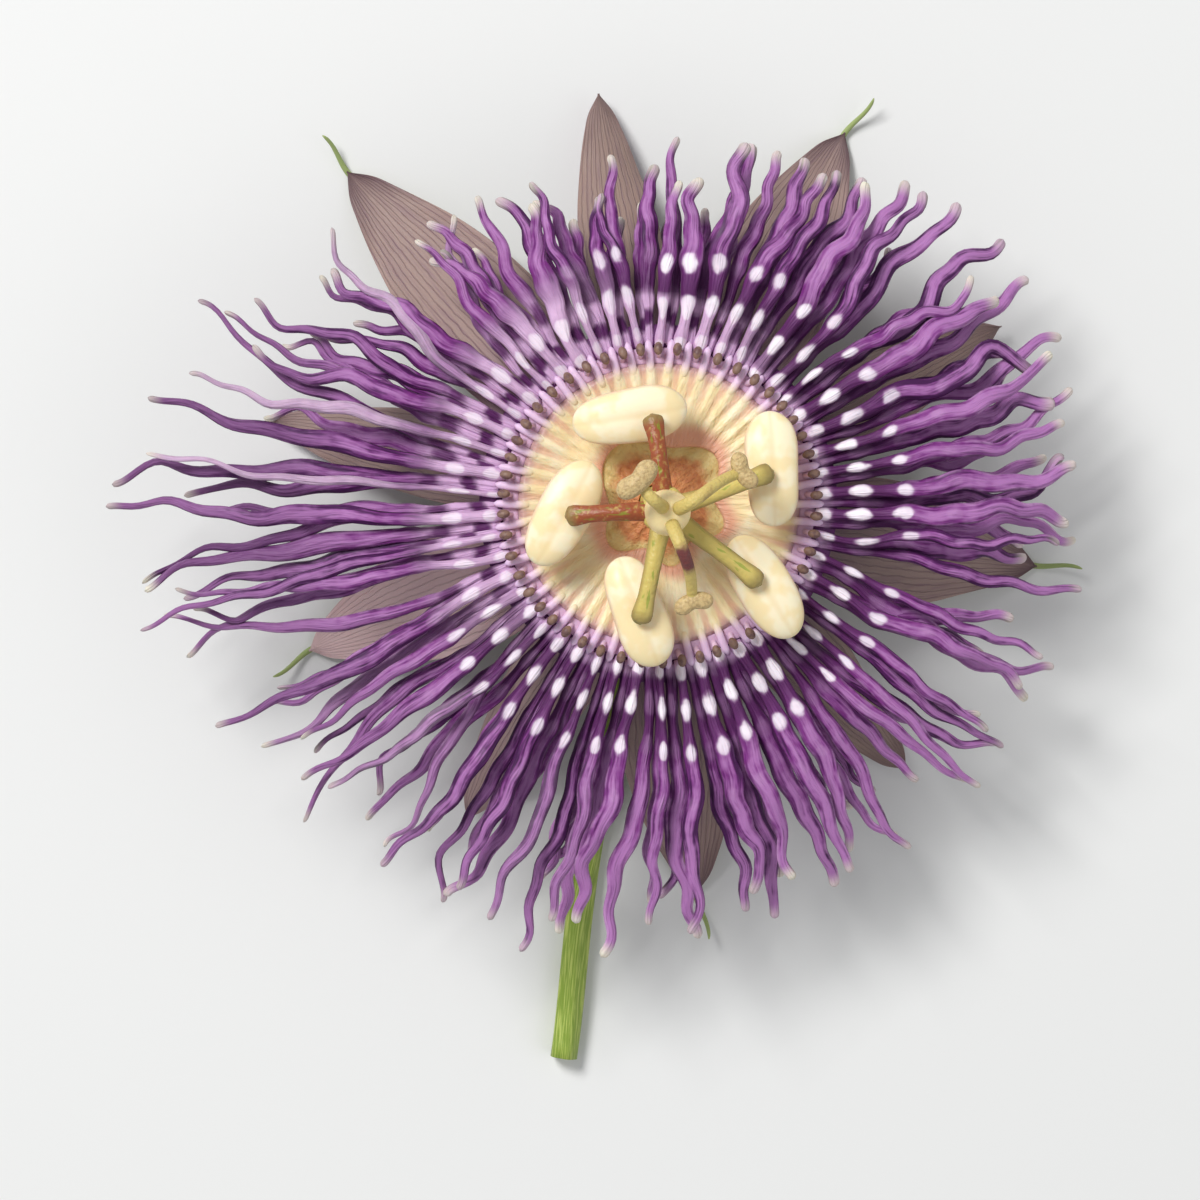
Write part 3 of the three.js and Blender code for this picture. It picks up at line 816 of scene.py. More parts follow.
@dataclass
class Sepal(ReflexedLeaf):
    """A boat-shaped sepal with a keel on its back that leaves the tip as an awn."""

    title: str = "awned_sepal"
    slot: Slot = Slot.SEPAL
    half_width: float = 4.4
    thickness: float = 1.0
    base_height: float = 17.3
    tip_height: float = 0.5
    base_share: float = 0.72
    tip_width: float = 0.9
    hollow: float = 1.5
    margin_roll: float = 0.25
    awn_length: float = 4.6
    awn_height: float = 2.6
    keel_radius: float = 0.6
    keel_rows: int = 44
    awn_rows: int = 20
    keel_sides: int = 14

    def lift(self, along: Array, across: Array) -> Array:
        """A hollow like a boat's, with faintly rolled margins."""
        rolled = self.margin_roll * wave(3.2 * along + 0.2 * self.place.value[0])
        return (self.hollow * across ** 2 * arch(along)
                + rolled * np.abs(across) ** 3 * along * np.sign(across))

    def keel(self) -> Skin:
        """Shapes the keel.

        Returns:
            A tube that runs 0.7 of its radius below the midline, half sunk in the sepal's
            back, then leaves the tip and curls up by out^1.5.
        """
        angle, reach = self.place.value
        along = np.linspace(0.22, 0.985, self.keel_rows)
        out = np.linspace(0, 1, self.awn_rows)[1:]
        share = np.concatenate([along * 0.7, mix(0.69, 1.0, out)])
        size = self.keel_radius * (1.1 - 0.8 * share) * smooth(0.1, 0.4, share)
        radius, height = self.midline(along)
        slope = np.gradient(height, radius)
        below = (size[:self.keel_rows] * 0.7) / np.sqrt(1 + slope ** 2)
        radius, height = radius + slope * below, np.maximum(height - below, 0.3)
        radius = np.concatenate([radius, mix(radius[-1], reach + self.awn_length, out)])
        height = np.concatenate([height, mix(height[-1], self.awn_height, out ** 1.5)])
        bend = 1.1 * np.sin(2.4 * out) * out * (1 if angle > 180 else -1)
        sideways = np.concatenate([0 * along, bend])
        centres = polar(radius, angle + np.degrees(sideways / radius), height)[None]
        size = np.maximum(size, 0.06)[:, None]
        size[-3:] = size[-4] * np.array([[0.92], [0.7], [0.35]])
        return ovals(centres, size, size, self.keel_sides,
                     {"along": np.minimum(radius / reach, 1)[:, None], "face": -1, "keel": 1})

    def skin(self) -> Skin:
        """The blade with its keel."""
        return together(self.blade(), self.keel())


@dataclass
class Petal(ReflexedLeaf):
    """A thinner, waved petal whose middle arches up."""

    title: str = "waved_petal"
    slot: Slot = Slot.PETAL
    half_width: float = 3.3
    thickness: float = 0.7
    base_height: float = 18.5
    tip_height: float = 2.4
    base_share: float = 0.62
    tip_width: float = 0.8
    lean: float = 0.55
    frill: float = 0.3
    crown: float = 0.9

    def lift(self, along: Array, across: Array) -> Array:
        """Lifts the margins off the midline.

        Args:
            along: share of the way out.
            across: share of the way to the margin, -1 to 1.

        Returns:
            Lengthwise waves that grow towards the tip and margins, lean by across and frill
            by across^3, less crown * across^2 * sin(pi along).
        """
        phase = (int(self.place.name[-1]) - 1) / 5
        lean = self.lean * across * wave(1.5 * along + phase) * along
        frill = self.frill * np.abs(across) ** 3 * wave(5 * along + phase) * along
        return lean + frill - self.crown * across ** 2 * arch(along)


@dataclass
class Bract:
    """A leafy bract below the cup, with a toothed margin and a small gland on each tooth."""

    angle: float
    number: int
    reach: float = 19.0
    start: float = 2.0
    half_width: float = 4.4
    thickness: float = 0.7
    root_width: float = 0.9
    tip_width: float = 0.5
    base_height: float = 8.6
    tip_height: float = 12.4
    dip: float = 1.4
    fold: float = 0.9
    ripple: float = 0.16
    teeth: int = 9
    rows: int = 100
    sides: int = 36
    gland_radius: float = 0.32
    gland_rows: int = 7
    gland_sides: int = 10

    def surface(self, along: Array, across: Array, lift: Array) -> Array:
        """Places points on the bract.

        Args:
            along: share of the way out.
            across: share of the way to the margin, -1 to 1.
            lift: distance above its middle layer.

        Returns:
            Points that dip near the stalk, rise towards the tip by along^1.8 and fold up
            along the midrib by fold * across^2, with teeth that swell the margin.
        """
        dip = self.dip * arch(along) * (1 - along)
        height = mix(self.base_height, self.tip_height, along ** 1.8) - dip
        width = (mix(self.root_width, self.tip_width, along)
                 + self.half_width * arch(along ** 0.8))
        tooth = 0.86 + 0.14 * ((self.teeth * along ** 1.1) % 1.0) ** 1.3
        width = (width * mix(1.0, tooth, np.abs(across) ** 4)
                 * bulge(smooth(0.93, 1.0, along), 2, 0.02))
        fold = (self.fold * across ** 2 + 0.12 * np.abs(across)) * arch(along)
        ripple = self.ripple * wave(4 * along) * across ** 2
        points = polar(mix(self.start, self.reach, along), self.angle, height + fold + ripple + lift)
        return points + polar(1.0, self.angle + 90, 0.0) * (across * width)[..., None]

    def blade(self) -> Skin:
        """Shapes the blade.

        Returns:
            Flat rounded-box sections square to the bract's length, thinner towards the
            margins by 0.4 across^2.
        """
        along = np.linspace(0, 1, self.rows)[:, None]
        across, face = rounded_box(self.sides, 0.8, 0.7)
        thin = mix(1.0, 0.6, np.abs(across) ** 2)
        points = self.surface(along, across, face * self.thickness / 2 * thin)
        return tubes(points[None], {"along": along, "across": across, "face": face})

    def glands(self) -> Skin:
        """Shapes the glands.

        Returns:
            Small balls on the teeth, as short tubes whose rings swell and close by
            sin(rise) at the heights -cos(rise).
        """
        tooth = (np.arange(2, self.teeth) / self.teeth) ** (1 / 1.1) - 0.006
        along, across = np.repeat(tooth, 2), np.tile([-0.97, 0.97], len(tooth))
        rise = np.linspace(0.08, math.pi - 0.08, self.gland_rows)[:, None]
        ball = polar(self.gland_radius * np.sin(rise), compass(self.gland_sides).T,
                     -self.gland_radius * np.cos(rise))
        rings = self.surface(along, across, 0 * along)[:, None, None] + ball
        return tubes(rings, {"along": along[:, None, None], "across": 1, "keel": 1})

    def build(self, material: Material) -> None:
        """Makes the piece."""
        as_piece(f"toothed_bract_{self.number}", together(self.blade(), self.glands()),
                 f"bract_{self.number}", material)


@dataclass
class Calyx:
    """The three bracts, five sepals and five petals."""

    bract_angles: tuple[float, ...] = (20.0, 140.0, 260.0)
    bract_finish: LeafFinish = LeafFinish(
        "bract_leaf", inside=srgb(112, 142, 54), veins=srgb(168, 186, 104),
        outside=srgb(96, 128, 48), margin=srgb(120, 120, 60), root=srgb(150, 168, 84),
        keel=srgb(120, 104, 48), vein_count=5.0)
    sepal_finish: LeafFinish = LeafFinish(
        "sepal_tissue", inside=srgb(154, 130, 122), veins=srgb(124, 94, 108),
        outside=srgb(122, 148, 66), margin=srgb(168, 128, 122), root=srgb(148, 118, 126),
        keel=srgb(150, 166, 104))
    petal_finish: LeafFinish = LeafFinish(
        "petal_tissue", inside=srgb(148, 124, 114), veins=srgb(118, 92, 104),
        outside=srgb(188, 158, 178), margin=srgb(166, 128, 156), root=srgb(138, 108, 122),
        keel=srgb(160, 120, 160), tip=srgb(132, 108, 106), vein_count=7.0)

    def build(self) -> None:
        """Makes every leaf."""
        green, pink, mauve = (finish.material() for finish in (
            self.bract_finish, self.sepal_finish, self.petal_finish))
        for number, angle in enumerate(self.bract_angles, 1):
            Bract(angle, number).build(green)
        for place in LeafPlace:
            kind, finish = (Sepal, pink) if place.name.startswith("SEPAL") else (Petal, mauve)
            kind(place).build(finish)


# ---- disc and operculum ----

@dataclass(frozen=True)
class Throat:
    """The throat's edge: a soft pentagon, two of its corners pulled nearer to a third."""

    radius: float = 6.3
    lobe: float = 0.9
    corner: float = 131.0
    pull: float = 90.0
    shift: float = 0.6
    shift_angle: float = 70.0

    def edge(self, degrees: Array) -> Array:
        """Finds the edge.

        Args:
            degrees: directions.

        Returns:
            Its distances: radius + lobe * cos(5 turn - pull * sin(turn)), shifted.
        """
        turn = np.radians(degrees - self.corner)
        lobes = np.cos(5 * turn - math.radians(self.pull) * np.sin(turn))
        return (self.radius + self.lobe * lobes
                + self.shift * np.cos(np.radians(degrees - self.shift_angle)))


@dataclass(frozen=True)
class DiscFinish:
    """Cream flesh with fine rays, pinker towards the rim, and a pink line on the inner lip."""

    cream: Colour = srgb(244, 224, 176)
    light: Colour = srgb(248, 236, 202)
    pink: Colour = srgb(226, 180, 152)
    lip: Colour = srgb(232, 172, 146)
    mauve: Colour = srgb(188, 150, 150)

    def material(self) -> Material:
        """Mixes the finish.

        Returns:
            Rays in the valleys between the ribs, and finer ones from noise over the direction.
        """
        recipe = Recipe("disc_flesh")
        way, east, north, rib = map(recipe.layer, ("way", "east", "north", "rib"))
        ray = recipe.noise(17, 2, east, north, way * 0.2, roughness=0.6)
        valley = (1 - rib) * 0.75 + ray * 0.8 - 0.4
        colour = recipe.coats(
            self.cream, (self.light, recipe.noise(350).rise(0.4, 0.65)),
            (self.pink, valley.rise(0.25, 0.75) * way.rise(0.3, 0.95) * 0.85),
            (self.mauve, way.rise(0.84, 1.0) * valley.rise(0.0, 0.6) * 0.9),
            (self.lip, (way - recipe.noise(150, 1) * 0.5).fall(-0.18, 0.04) * 0.95))
        return recipe.finished(colour, 0.42, recipe.flesh(ray, 0.4, 0.25, 1.2))


@dataclass
class Disc:
    """The cream disc with fine ribs, round the throat."""

    throat: Throat = Throat()
    radius: float = 14.6
    bottom: float = 19.2
    inner: float = 20.9
    outer: float = 21.6
    cup_radius: float = 10.0
    ribs: int = 50
    rib_depth: float = 0.3
    steps: int = 600
    finish: DiscFinish = DiscFinish()

    def build(self) -> None:
        """Makes the ring, whose upper corners rise and fall by cos(ribs * direction)."""
        degrees, rim = compass(self.steps), self.radius
        ribs = 0.5 + 0.5 * np.cos(np.radians(degrees * self.ribs))
        rib = self.rib_depth * ribs * (0.75 + 0.25 * np.cos(np.radians(degrees * 7 + 40)))
        lip = self.throat.edge(degrees)
        outline = [
            (lip, self.bottom), (lip, self.inner - 0.4), (lip + 0.15, self.inner - 0.1),
            (lip + 0.5, self.inner), (mix(lip, rim, 0.5), self.inner - 0.2 + rib),
            (rim - 0.3, self.outer - 0.3 + rib), (rim + 0.2, self.outer - 0.8),
            (rim - 0.4, self.bottom + 0.7), (self.cup_radius, self.bottom)]
        as_piece("ribbed_disc", ring_skin(outline, self.steps, 5, {"rib": ribs}, (lip, rim)),
                 "disc", self.finish.material())


@dataclass(frozen=True)
class OperculumFinish:
    """Red-brown membrane in folds, olive-tan towards its edge."""

    brown: Colour = srgb(216, 148, 96)
    dark: Colour = srgb(194, 118, 76)
    tan: Colour = srgb(224, 202, 138)

    def material(self) -> Material:
        """Mixes the finish.

        Returns:
            Rays and blotches of the darker brown, with a soft olive-tan border.
        """
        recipe = Recipe("operculum_membrane")
        way, east, north = map(recipe.layer, ("way", "east", "north"))
        ray = recipe.noise(9, 3, east, north, way)
        border = (way + recipe.noise(700) * 0.4 - 0.2).rise(0.5, 0.78)
        colour = recipe.coats(self.brown, (self.dark, ray.rise(0.42, 0.62) * 0.7),
                              (self.tan, border))
        return recipe.finished(colour, 0.4, recipe.flesh(ray, 0.4, 0.1))


@dataclass
class Operculum:
    """The folded membrane that closes the throat round the column."""

    throat: Throat = Throat()
    inner_radius: float = 2.15
    bottom: float = 19.2
    inner: float = 21.2
    outer: float = 19.9
    tucked: float = 0.4
    folds: int = 20
    fold_depth: float = 0.25
    steps: int = 480
    finish: OperculumFinish = OperculumFinish()

    def build(self) -> None:
        """Makes the ring, highest at the column, folded outwards by cos(folds * direction)."""
        degrees, hole, outer = compass(self.steps), self.inner_radius, self.outer
        fold = self.fold_depth * (0.5 + 0.5 * np.cos(np.radians(degrees * self.folds)))
        edge = self.throat.edge(degrees) + self.tucked
        outline = [
            (hole, self.bottom), (hole, self.inner),
            (mix(hole, edge, 0.25), outer + 0.75 + fold * 0.6),
            (mix(hole, edge, 0.5), outer + 0.4 + fold),
            (mix(hole, edge, 0.82), outer + 0.25 + fold),
            (edge, outer + 0.3 + fold * 0.5), (edge, self.bottom)]
        as_piece("folded_operculum", ring_skin(outline, self.steps, 3, {}, (hole, edge)),
                 "operculum", self.finish.material())


# ---- corona ----

@dataclass(frozen=True)
class ShortCoronaFinish:
    """Pale pink stems with olive-brown heads, between cream rays that turn lilac outwards."""

    stem: Colour = srgb(236, 204, 228)
    head: Colour = srgb(134, 106, 92)
    dark: Colour = srgb(92, 62, 68)
    ring: Colour = srgb(214, 176, 204)
    cream: Colour = srgb(242, 224, 186)
    lilac: Colour = srgb(226, 194, 224)

    def material(self) -> Material:
        """Mixes the finish.

        Returns:
            The ring's colour, then the stems' and the heads', by the height along each.
        """
        recipe = Recipe("short_filament_tissue")
        rise, way, ridge = map(recipe.layer, ("rise", "way", "ray"))
        spots = recipe.noise(1600)
        head = recipe.coats(self.head, (self.dark, spots.rise(0.45, 0.65) * 0.7))
        ray = recipe.coats(self.cream, (self.lilac, way.rise(13.7, 15.4)))
        colour = recipe.coats(self.ring, (self.stem, rise.rise(0.02, 0.3)),
                              (head, rise.rise(0.56, 0.68)), (ray, ridge))
        return recipe.finished(colour, 0.48, recipe.flesh(spots, 0.1, 0.12))


@dataclass
class ShortCorona:
    """A rank of short filaments with heads, on a low ring round the disc."""

    count: int = 50
    inner_radius: float = 14.9
    outer_radius: float = 16.1
    bottom: float = 20.0
    top: float = 21.0
    seed: int = 11
    sunk: float = 0.6
    height: float = 2.5
    height_spread: float = 0.5
    lean: float = 1.1
    stem_radius: float = 0.3
    head_start: float = 0.64
    head_radius: float = 0.48
    head_stretch: float = 1.5
    ray_start: float = 13.4
    ray_end: float = 17.3
    ray_half_width: float = 0.42
    ray_half_height: float = 0.36
    ray_rise: float = 0.24
    ray_stations: int = 14
    half_stations: int = 8
    sides: int = 12
    ring_steps: int = 200
    finish: ShortCoronaFinish = ShortCoronaFinish()

    def filaments(self) -> Skin:
        """Shapes the filaments.

        Returns:
            Leaning stems, swollen at the root by exp(-(share / 0.12)^2), whose last third is
            a rounded head, the root of 1 - x^2 from its middle.
        """
        number, draws = np.arange(self.count)[:, None], repeatable(self.seed, self.count)[:, None]
        degrees = 360.0 * (number + 0.5) / self.count
        share = np.concatenate([np.linspace(0, 0.62, self.half_stations),
                                np.linspace(0.66, 1, self.half_stations)])
        centres = polar((self.inner_radius + self.outer_radius) / 2 + self.lean * share,
                        degrees + 1.2 * np.sin(7 * number) * share,
                        self.top - self.sunk + share * (self.height + self.height_spread * draws))
        head = np.maximum(self.head_radius * bulge((share - 0.82) / 0.185, 2, 0.02), 0.12)
        stem = self.stem_radius * (1 + 0.5 * hump(share / 0.12))
        size = np.where(share > self.head_start, head, stem)[:, None]
        longer = np.where(share > self.head_start, self.head_stretch, 1.0)[:, None]
        return ovals(centres, size, size * longer, self.sides, {"rise": share[:, None]},
                     -polar(1.0, degrees, 0.0))

    def rays(self) -> Skin:
        """Shapes the rays.

        Returns:
            Low ridges between the filaments, from the disc's ribs to the long filaments, that
            arch by sin(pi share^0.9) and close at both ends by the root of 1 - x^6.
        """
        degrees, share = compass(self.count), np.linspace(0, 1, self.ray_stations)
        radius = mix(self.ray_start, self.ray_end, share)
        centres = polar(radius, degrees + 0.8 * np.sin(9 * degrees) * share,
                        self.top + 0.08 + self.ray_rise * arch(share ** 0.9))
        end = bulge(2 * share - 1, 6, 0.05)[:, None]
        return ovals(centres, self.ray_half_width * end, self.ray_half_height * end, self.sides,
                     {"way": radius[:, None], "ray": 1})

    def build(self) -> None:
        """Makes the ring with its filaments and rays."""
        near, far, top = self.inner_radius - 0.2, self.outer_radius + 0.3, self.top - 0.2
        outline = [(near, self.bottom), (near, top), (far, top), (far, self.bottom)]
        ring = ring_skin(outline, self.ring_steps, 8, {})
        as_piece("short_filaments", together(ring, self.filaments(), self.rays()),
                 "corona_inner", self.finish.material())


@dataclass(frozen=True)
class DotRow:
    """A row of dots round the flower, each an ellipse on a filament's face.

    It holds the row's distance from the axis, half a dot's length, its half width as a share
    of the filament's, and how strong it is.
    """

    middle: float
    half: float
    width: float
    strength: float


@dataclass(frozen=True)
class LongCoronaFinish:
    """Purple filaments with white dots towards the root, in rows round the flower, with painted light
    and shade: a paler upper-left side with dark holes, a lighter middle and darker edges, a darker
    outer left, and dimmer dots on the lower rank.
    """

    white: Colour = srgb(252, 240, 250)
    dark: Colour = srgb(90, 38, 92)
    # mauve: the lilac of the roots, and painted light on the upper-left side
    mauve: Colour = srgb(220, 182, 218)
    purple: Colour = srgb(122, 46, 125)
    # deep: the deep purple, also painted shade at the edges and over the left side's outer part
    deep: Colour = srgb(66, 20, 72)
    # ridge: the lighter purple of the streaks and of a painted highlight along the middle of the upper
    # face
    ridge: Colour = srgb(178, 122, 180)
    edge: Colour = srgb(196, 154, 196)
    faded: Colour = srgb(202, 174, 198)
    tip: Colour = srgb(228, 224, 202)
    dots: tuple[DotRow, ...] = (
        DotRow(17.5, 0.95, 1.1, 1.0), DotRow(21.4, 1.3, 1.05, 1.0), DotRow(25.9, 1.05, 0.74, 0.85),
        DotRow(31.2, 0.8, 0.55, 0.2))
    # painted shade: rows of dark holes on the lower rank, on the upper-left side, for the shadows
    # between the filaments
    painted_shade_holes: tuple[DotRow, ...] = (
        DotRow(19.4, 1.0, 1.3, 1.0), DotRow(23.6, 1.4, 1.3, 0.95), DotRow(28.2, 1.5, 1.2, 0.8))

    def spots(self, seen: Wire, across: Wire, rows: tuple[DotRow, ...]) -> Wire:
        """A mask of rows of dots.

        Args:
            seen: distance from the axis, with each filament's own offset.
            across: share of the way from the filament's middle to its edge.
            rows: the rows.

        Returns:
            The strongest of 1 - (distance / half)^2 - (across / width)^2 over the rows, with
            a soft edge.
        """
        return reduce(Wire.larger, [
            (1 - ((seen - row.middle) / row.half) ** 2 - (across / row.width) ** 2).rise(-0.5, 0.85)
            * row.strength for row in rows])

    def material(self) -> Material:
        """Mixes the finish.

        Returns:
            Dots as ellipses over the filament's face, and streaks stretched along it.
        """
        recipe = Recipe("long_filament_tissue")
        way, across, tip, shade, pale, gloom, faded = map(
            recipe.layer, ("way", "across", "tip", "shade", "pale", "gloom", "faded"))
        lower, top = recipe.layer("rank").rise(0.0, 1.0), recipe.layer("top").rise(-0.4, 0.3)
        streaks = recipe.noise(1.5, 2, across * 2.0, way * 0.2, shade * 60)
        mottle, edge = recipe.noise(700), across.size()
        # Painted highlight: the middle of the upper face is lighter, and the edges keep the deep
        # purple as painted shade.
        middle = edge.fall(0.1, 0.8) * top
        ground = (streaks * 0.8 + shade * 0.3 + middle * 0.2).rise(0.4, 0.68)
        light = streaks * 0.6 + middle * 0.2 + mottle * 0.3 + way * 0.0135 + shade * 0.12
        rims = (edge.rise(0.66, 0.98) * top * shade.rise(0.3, 0.6)
                * (mottle.rise(0.35, 0.6) * 0.4 + way.rise(30, 44) * 0.4))
        # The deep purple laid again over the left side's outer part is painted shade.
        far = recipe.coats(self.deep, (self.purple, ground), (self.ridge, light.rise(0.9, 1.2) * 0.85),
                           (self.edge, rims), (self.deep, gloom * 0.8),
                           (self.faded, faded * (mottle * 0.6 + 0.5)))
        # The lattice: the roots' own lilac, and on the upper-left side painted light that reaches
        # further out.
        lattice = (pale * way.fall(23.0, 28)).larger(way.fall(16.9, 18.6) * 0.95)
        seen = way + (shade - 0.5) * 1.6 + (mottle - 0.5) * 1.4
        # Painted shade: dark holes on the lower rank where the lattice is pale.
        near = recipe.coats(self.dark, (self.mauve, lattice * (mottle * 0.5 + 0.64)),
                            (self.dark, self.spots(seen, across, self.painted_shade_holes) * pale * lower))
        # Painted shade dims the lower rank's dots and tints them lilac instead of white; painted light
        # fades the dots on the upper-left side.
        dots = (self.spots(seen, across, self.dots) * (1 - lower * 0.75) * top
                * (mottle * 0.4 + shade * 0.3 + 0.58)
                * (1 - pale * (way.rise(23.0, 25.0) * 0.5 + 0.25)))
        dot = recipe.coats(self.edge, (self.white, dots.rise(0.15, 0.6) * (1 - lower)))
        colour = recipe.coats(near, (far, way.rise(22.5, 28.5)), (dot, dots),
                              (self.tip, tip.fall(0.2, 2.0) * (shade * 0.6 + 0.35)))
        return recipe.finished(colour, streaks * 0.2 + 0.42,
                               recipe.flesh(streaks, 0.3, 0.1, 0.5, shine=0.28))


@dataclass(frozen=True)
class Rank:
    """One rank of long filaments: where it springs from and how it hangs."""

    offset: float
    root_radius: float
    root_height: float
    rise: float
    droop: float
    shorter: float
    number: int


@dataclass(frozen=True)
class Gap:
    """A gap that the filaments leave open.

    It holds the gap's direction and half width, the most that it turns a filament aside, and
    how far out it starts.
    """

    direction: float
    half_width: float
    push: float
    start: float


@dataclass
class Strands:
    """The filaments of one rank, with values by filament in columns and by station in rows.

    The draws hold five numbers from 0 to 1 for each filament, and the seed starts twelve more.
    A side of the flower is given by its direction and its width in degrees, and an uneven one
    also by how much further out the filaments end there. The widths and the thicknesses are
    shares of the way from root to tip, with half the size at each.
    """

    rank: Rank
    draws: Array
    seed: int = 40
    reach: float = 45.0
    uneven_reach: float = 4.0
    left_shorter: float = 7.0
    uneven_sides: tuple[tuple[float, float, float], ...] = (
        (182.0, 30.0, 13.0), (245.0, 28.0, 3.0), (102.0, 45.0, -9.0))
    left_side: tuple[float, float] = (170.0, 55.0)
    slim_sides: tuple[tuple[float, float], ...] = ((312.0, 34.0), (218.0, 30.0))
    calm_side: tuple[float, float] = (98.0, 38.0)
    faded_over: float = 0.76
    slack_length: float = 26.0
    waves: float = 2.2
    fine_crimp: float = 0.28
    sweep: float = 3.2
    swing: float = 4.0
    left_swing: float = 6.5
    left_cross: float = 3.0
    hook: float = 3.6
    curl: float = 2.2
    sag: float = 1.6
    stations: int = 49
    tip_stations: int = 7
    sides: int = 10
    rounded_tip: float = 0.55
    beads: tuple[float, ...] = (17.5, 21.4, 26.0)
    bead_reach: float = 0.9
    widths: tuple[tuple[float, ...], ...] = (
        (0, 0.1, 0.22, 0.34, 0.5, 0.72, 0.92, 1), (0.5, 0.48, 0.5, 0.72, 1.02, 0.94, 0.64, 0.6))
    thicknesses: tuple[tuple[float, ...], ...] = (
        (0, 0.1, 0.4, 0.85, 1), (0.6, 0.52, 0.36, 0.32, 0.36))
    gaps: tuple[Gap, ...] = (
        Gap(-16.0, 7.0, 5.5, 24.0), Gap(-31.0, 5.0, 3.2, 30.0), Gap(43.0, 4.5, 3.0, 30.0),
        Gap(82.0, 4.5, 3.2, 29.0), Gap(105.0, 3.6, 2.2, 24.0), Gap(132.0, 4.5, 3.2, 28.0),
        Gap(151.0, 4.5, 2.8, 30.0), Gap(200.0, 4.5, 3.8, 24.0), Gap(219.0, 4.5, 3.2, 29.0),
        Gap(232.0, 4.5, 3.0, 29.0), Gap(265.0, 3.6, 2.4, 21.0))

    def __post_init__(self) -> None:
        """Works out what the course, the section and the colours of the filaments share."""
        rank, count = self.rank, len(self.draws)
        number = np.arange(count)[:, None]
        (self.hooked, self.rate, self.shift, self.curled, self.shade, self.rolled, self.swung,
         self.rooted, self.raised, self.crimped, fading, self.broad) = (
             np.random.default_rng(self.seed + rank.number).random((12, count, 1)))
        far, self.sagging, start, crimp, self.leaning = self.draws.T[..., None]
        self.degrees = 360.0 * (number + rank.offset) / count
        self.phase = number / 9 + 0.25 * start
        self.left = bell(self.degrees, *self.left_side)
        self.slim = sum(bell(self.degrees, *side) for side in self.slim_sides)
        self.calm = self.slim + 0.8 * bell(self.degrees, *self.calm_side)
        self.faded = self.left * (fading > self.faded_over) * (1 - 0.5 * rank.number)
        reach = sum((bell(self.degrees, *side[:2]) * side[2] for side in self.uneven_sides),
                    self.reach)
        reach = (reach - rank.shorter + self.uneven_reach * (far - 0.5)
                 - self.left_shorter * self.left * self.shade ** 2)
        self.length = reach - rank.root_radius
        self.slack = np.clip(self.length / self.slack_length, 0.4, 1)
        self.crimp = ((0.6 + 0.5 * crimp) * mix(0.35, 1.25, self.crimped)
                      * (1 - 0.6 * self.calm) * self.slack)
        self.share = np.concatenate([np.linspace(0, 0.955, self.stations),
                                     np.linspace(0.965, 1, self.tip_stations)])[None, :]
        self.loose = smooth(0.0, 1.0, self.share)
        self.radius = mix(rank.root_radius, reach, self.share)

    def parted(self) -> Array:
        """Parts the filaments at the gaps and gathers them between.

        Returns:
            Turns in degrees, for each gap push * x * exp(1/2 - x^2), where x is the turn from
            the gap over its half width, growing in over 8 mm round the gap's start, and three
            slow waves.
        """
        turn = 0 * self.radius
        for gap in self.gaps:
            x = turn_between(self.degrees, gap.direction) / gap.half_width
            turn = turn + gap.push * x * np.exp(0.5 - x ** 2) * smooth(
                gap.start - 5, gap.start + 3, self.radius)
        angle = np.radians(self.degrees)
        slow = (0.9 * np.sin(9 * angle + 1.0) + 0.7 * np.sin(14 * angle + 2.4)
                + 0.5 * np.sin(23 * angle + 0.3))
        return turn + slow * smooth(22, 40, self.radius)

    def sideways(self) -> Array:
        """Finds how far the filaments' middles leave their straight lines.

        Returns:
            crimp * loose * sin(2 pi (waves share + phase)) and a finer wave, a sweep and a
            swing by share^2, with more of both on the left side, a hook at the tip, and a
            shift beyond the root. Here loose is 3 share^2 - 2 share^3.
        """
        share, swung = self.share, 2 * self.swung - 1
        fine = (self.fine_crimp * (1 - 0.5 * self.calm) * self.slack * self.loose
                * wave((4.6 + 2 * self.rate) * share + self.shift))
        hook = (2 * self.hooked - 1) ** 3 * self.hook * self.slack ** 2
        crossing = swung * self.left_swing + (2 * self.crimped - 1) * self.left_cross
        return (self.crimp * self.loose * wave(self.waves * share + self.phase)
                + self.sweep * (self.leaning - 0.5) * share * share
                + swung ** 3 * self.swing * share * share + crossing * self.left * share * share
                + hook * smooth(0.84, 1.0, share) ** 1.5 + fine
                + 0.7 * (self.rooted - 0.5) * smooth(0.0, 0.2, share))

    def heights(self) -> Array:
        """Finds the heights of the filaments' middles.

        Returns:
            A rise by sin(3/4 pi share) from the root, less a droop by share^2.2, with 0.7 of
            the crimp on a wave of its own, and a curl at the tip.
        """
        rank, share = self.rank, self.share
        lift = 0.7 * self.crimp * self.loose * wave(2.1 * share + 1.7 * self.phase)
        curl = (self.curled - 0.35) * self.curl * smooth(0.82, 1.0, share)
        return (rank.root_height + rank.rise * np.sin(0.75 * math.pi * share)
                - (rank.droop + self.sag * self.sagging) * share ** 2.2 + lift + curl
                + 1.4 * (self.raised - 0.5) * self.loose + 0.8 * self.faded * self.loose)

    def sizes(self) -> tuple[Array, Array]:
        """Finds half the filaments' widths and thicknesses.

        Returns:
            Round at the root, widest halfway, swollen by 0.15 exp(-((radius - bead) /
            bead_reach)^2) at the beads, and closed at the tip by the root of 1 - x^2.
        """
        end = bulge(1 - np.clip(self.length * (1 - self.share) / self.rounded_tip, 0, 1), 2, 0.03)
        beads = sum(hump((self.radius - bead) / self.bead_reach) for bead in self.beads)
        slimmer = (0.3 * self.slim + 0.48 * self.left) * smooth(0.35, 0.95, self.share)
        wide = ((np.interp(self.share, *self.widths) + 0.15 * beads)
                * mix(0.72, 1.25, self.broad) * (1 - 0.35 * self.faded) * end * (1 - slimmer))
        return wide, np.interp(self.share, *self.thicknesses) * end

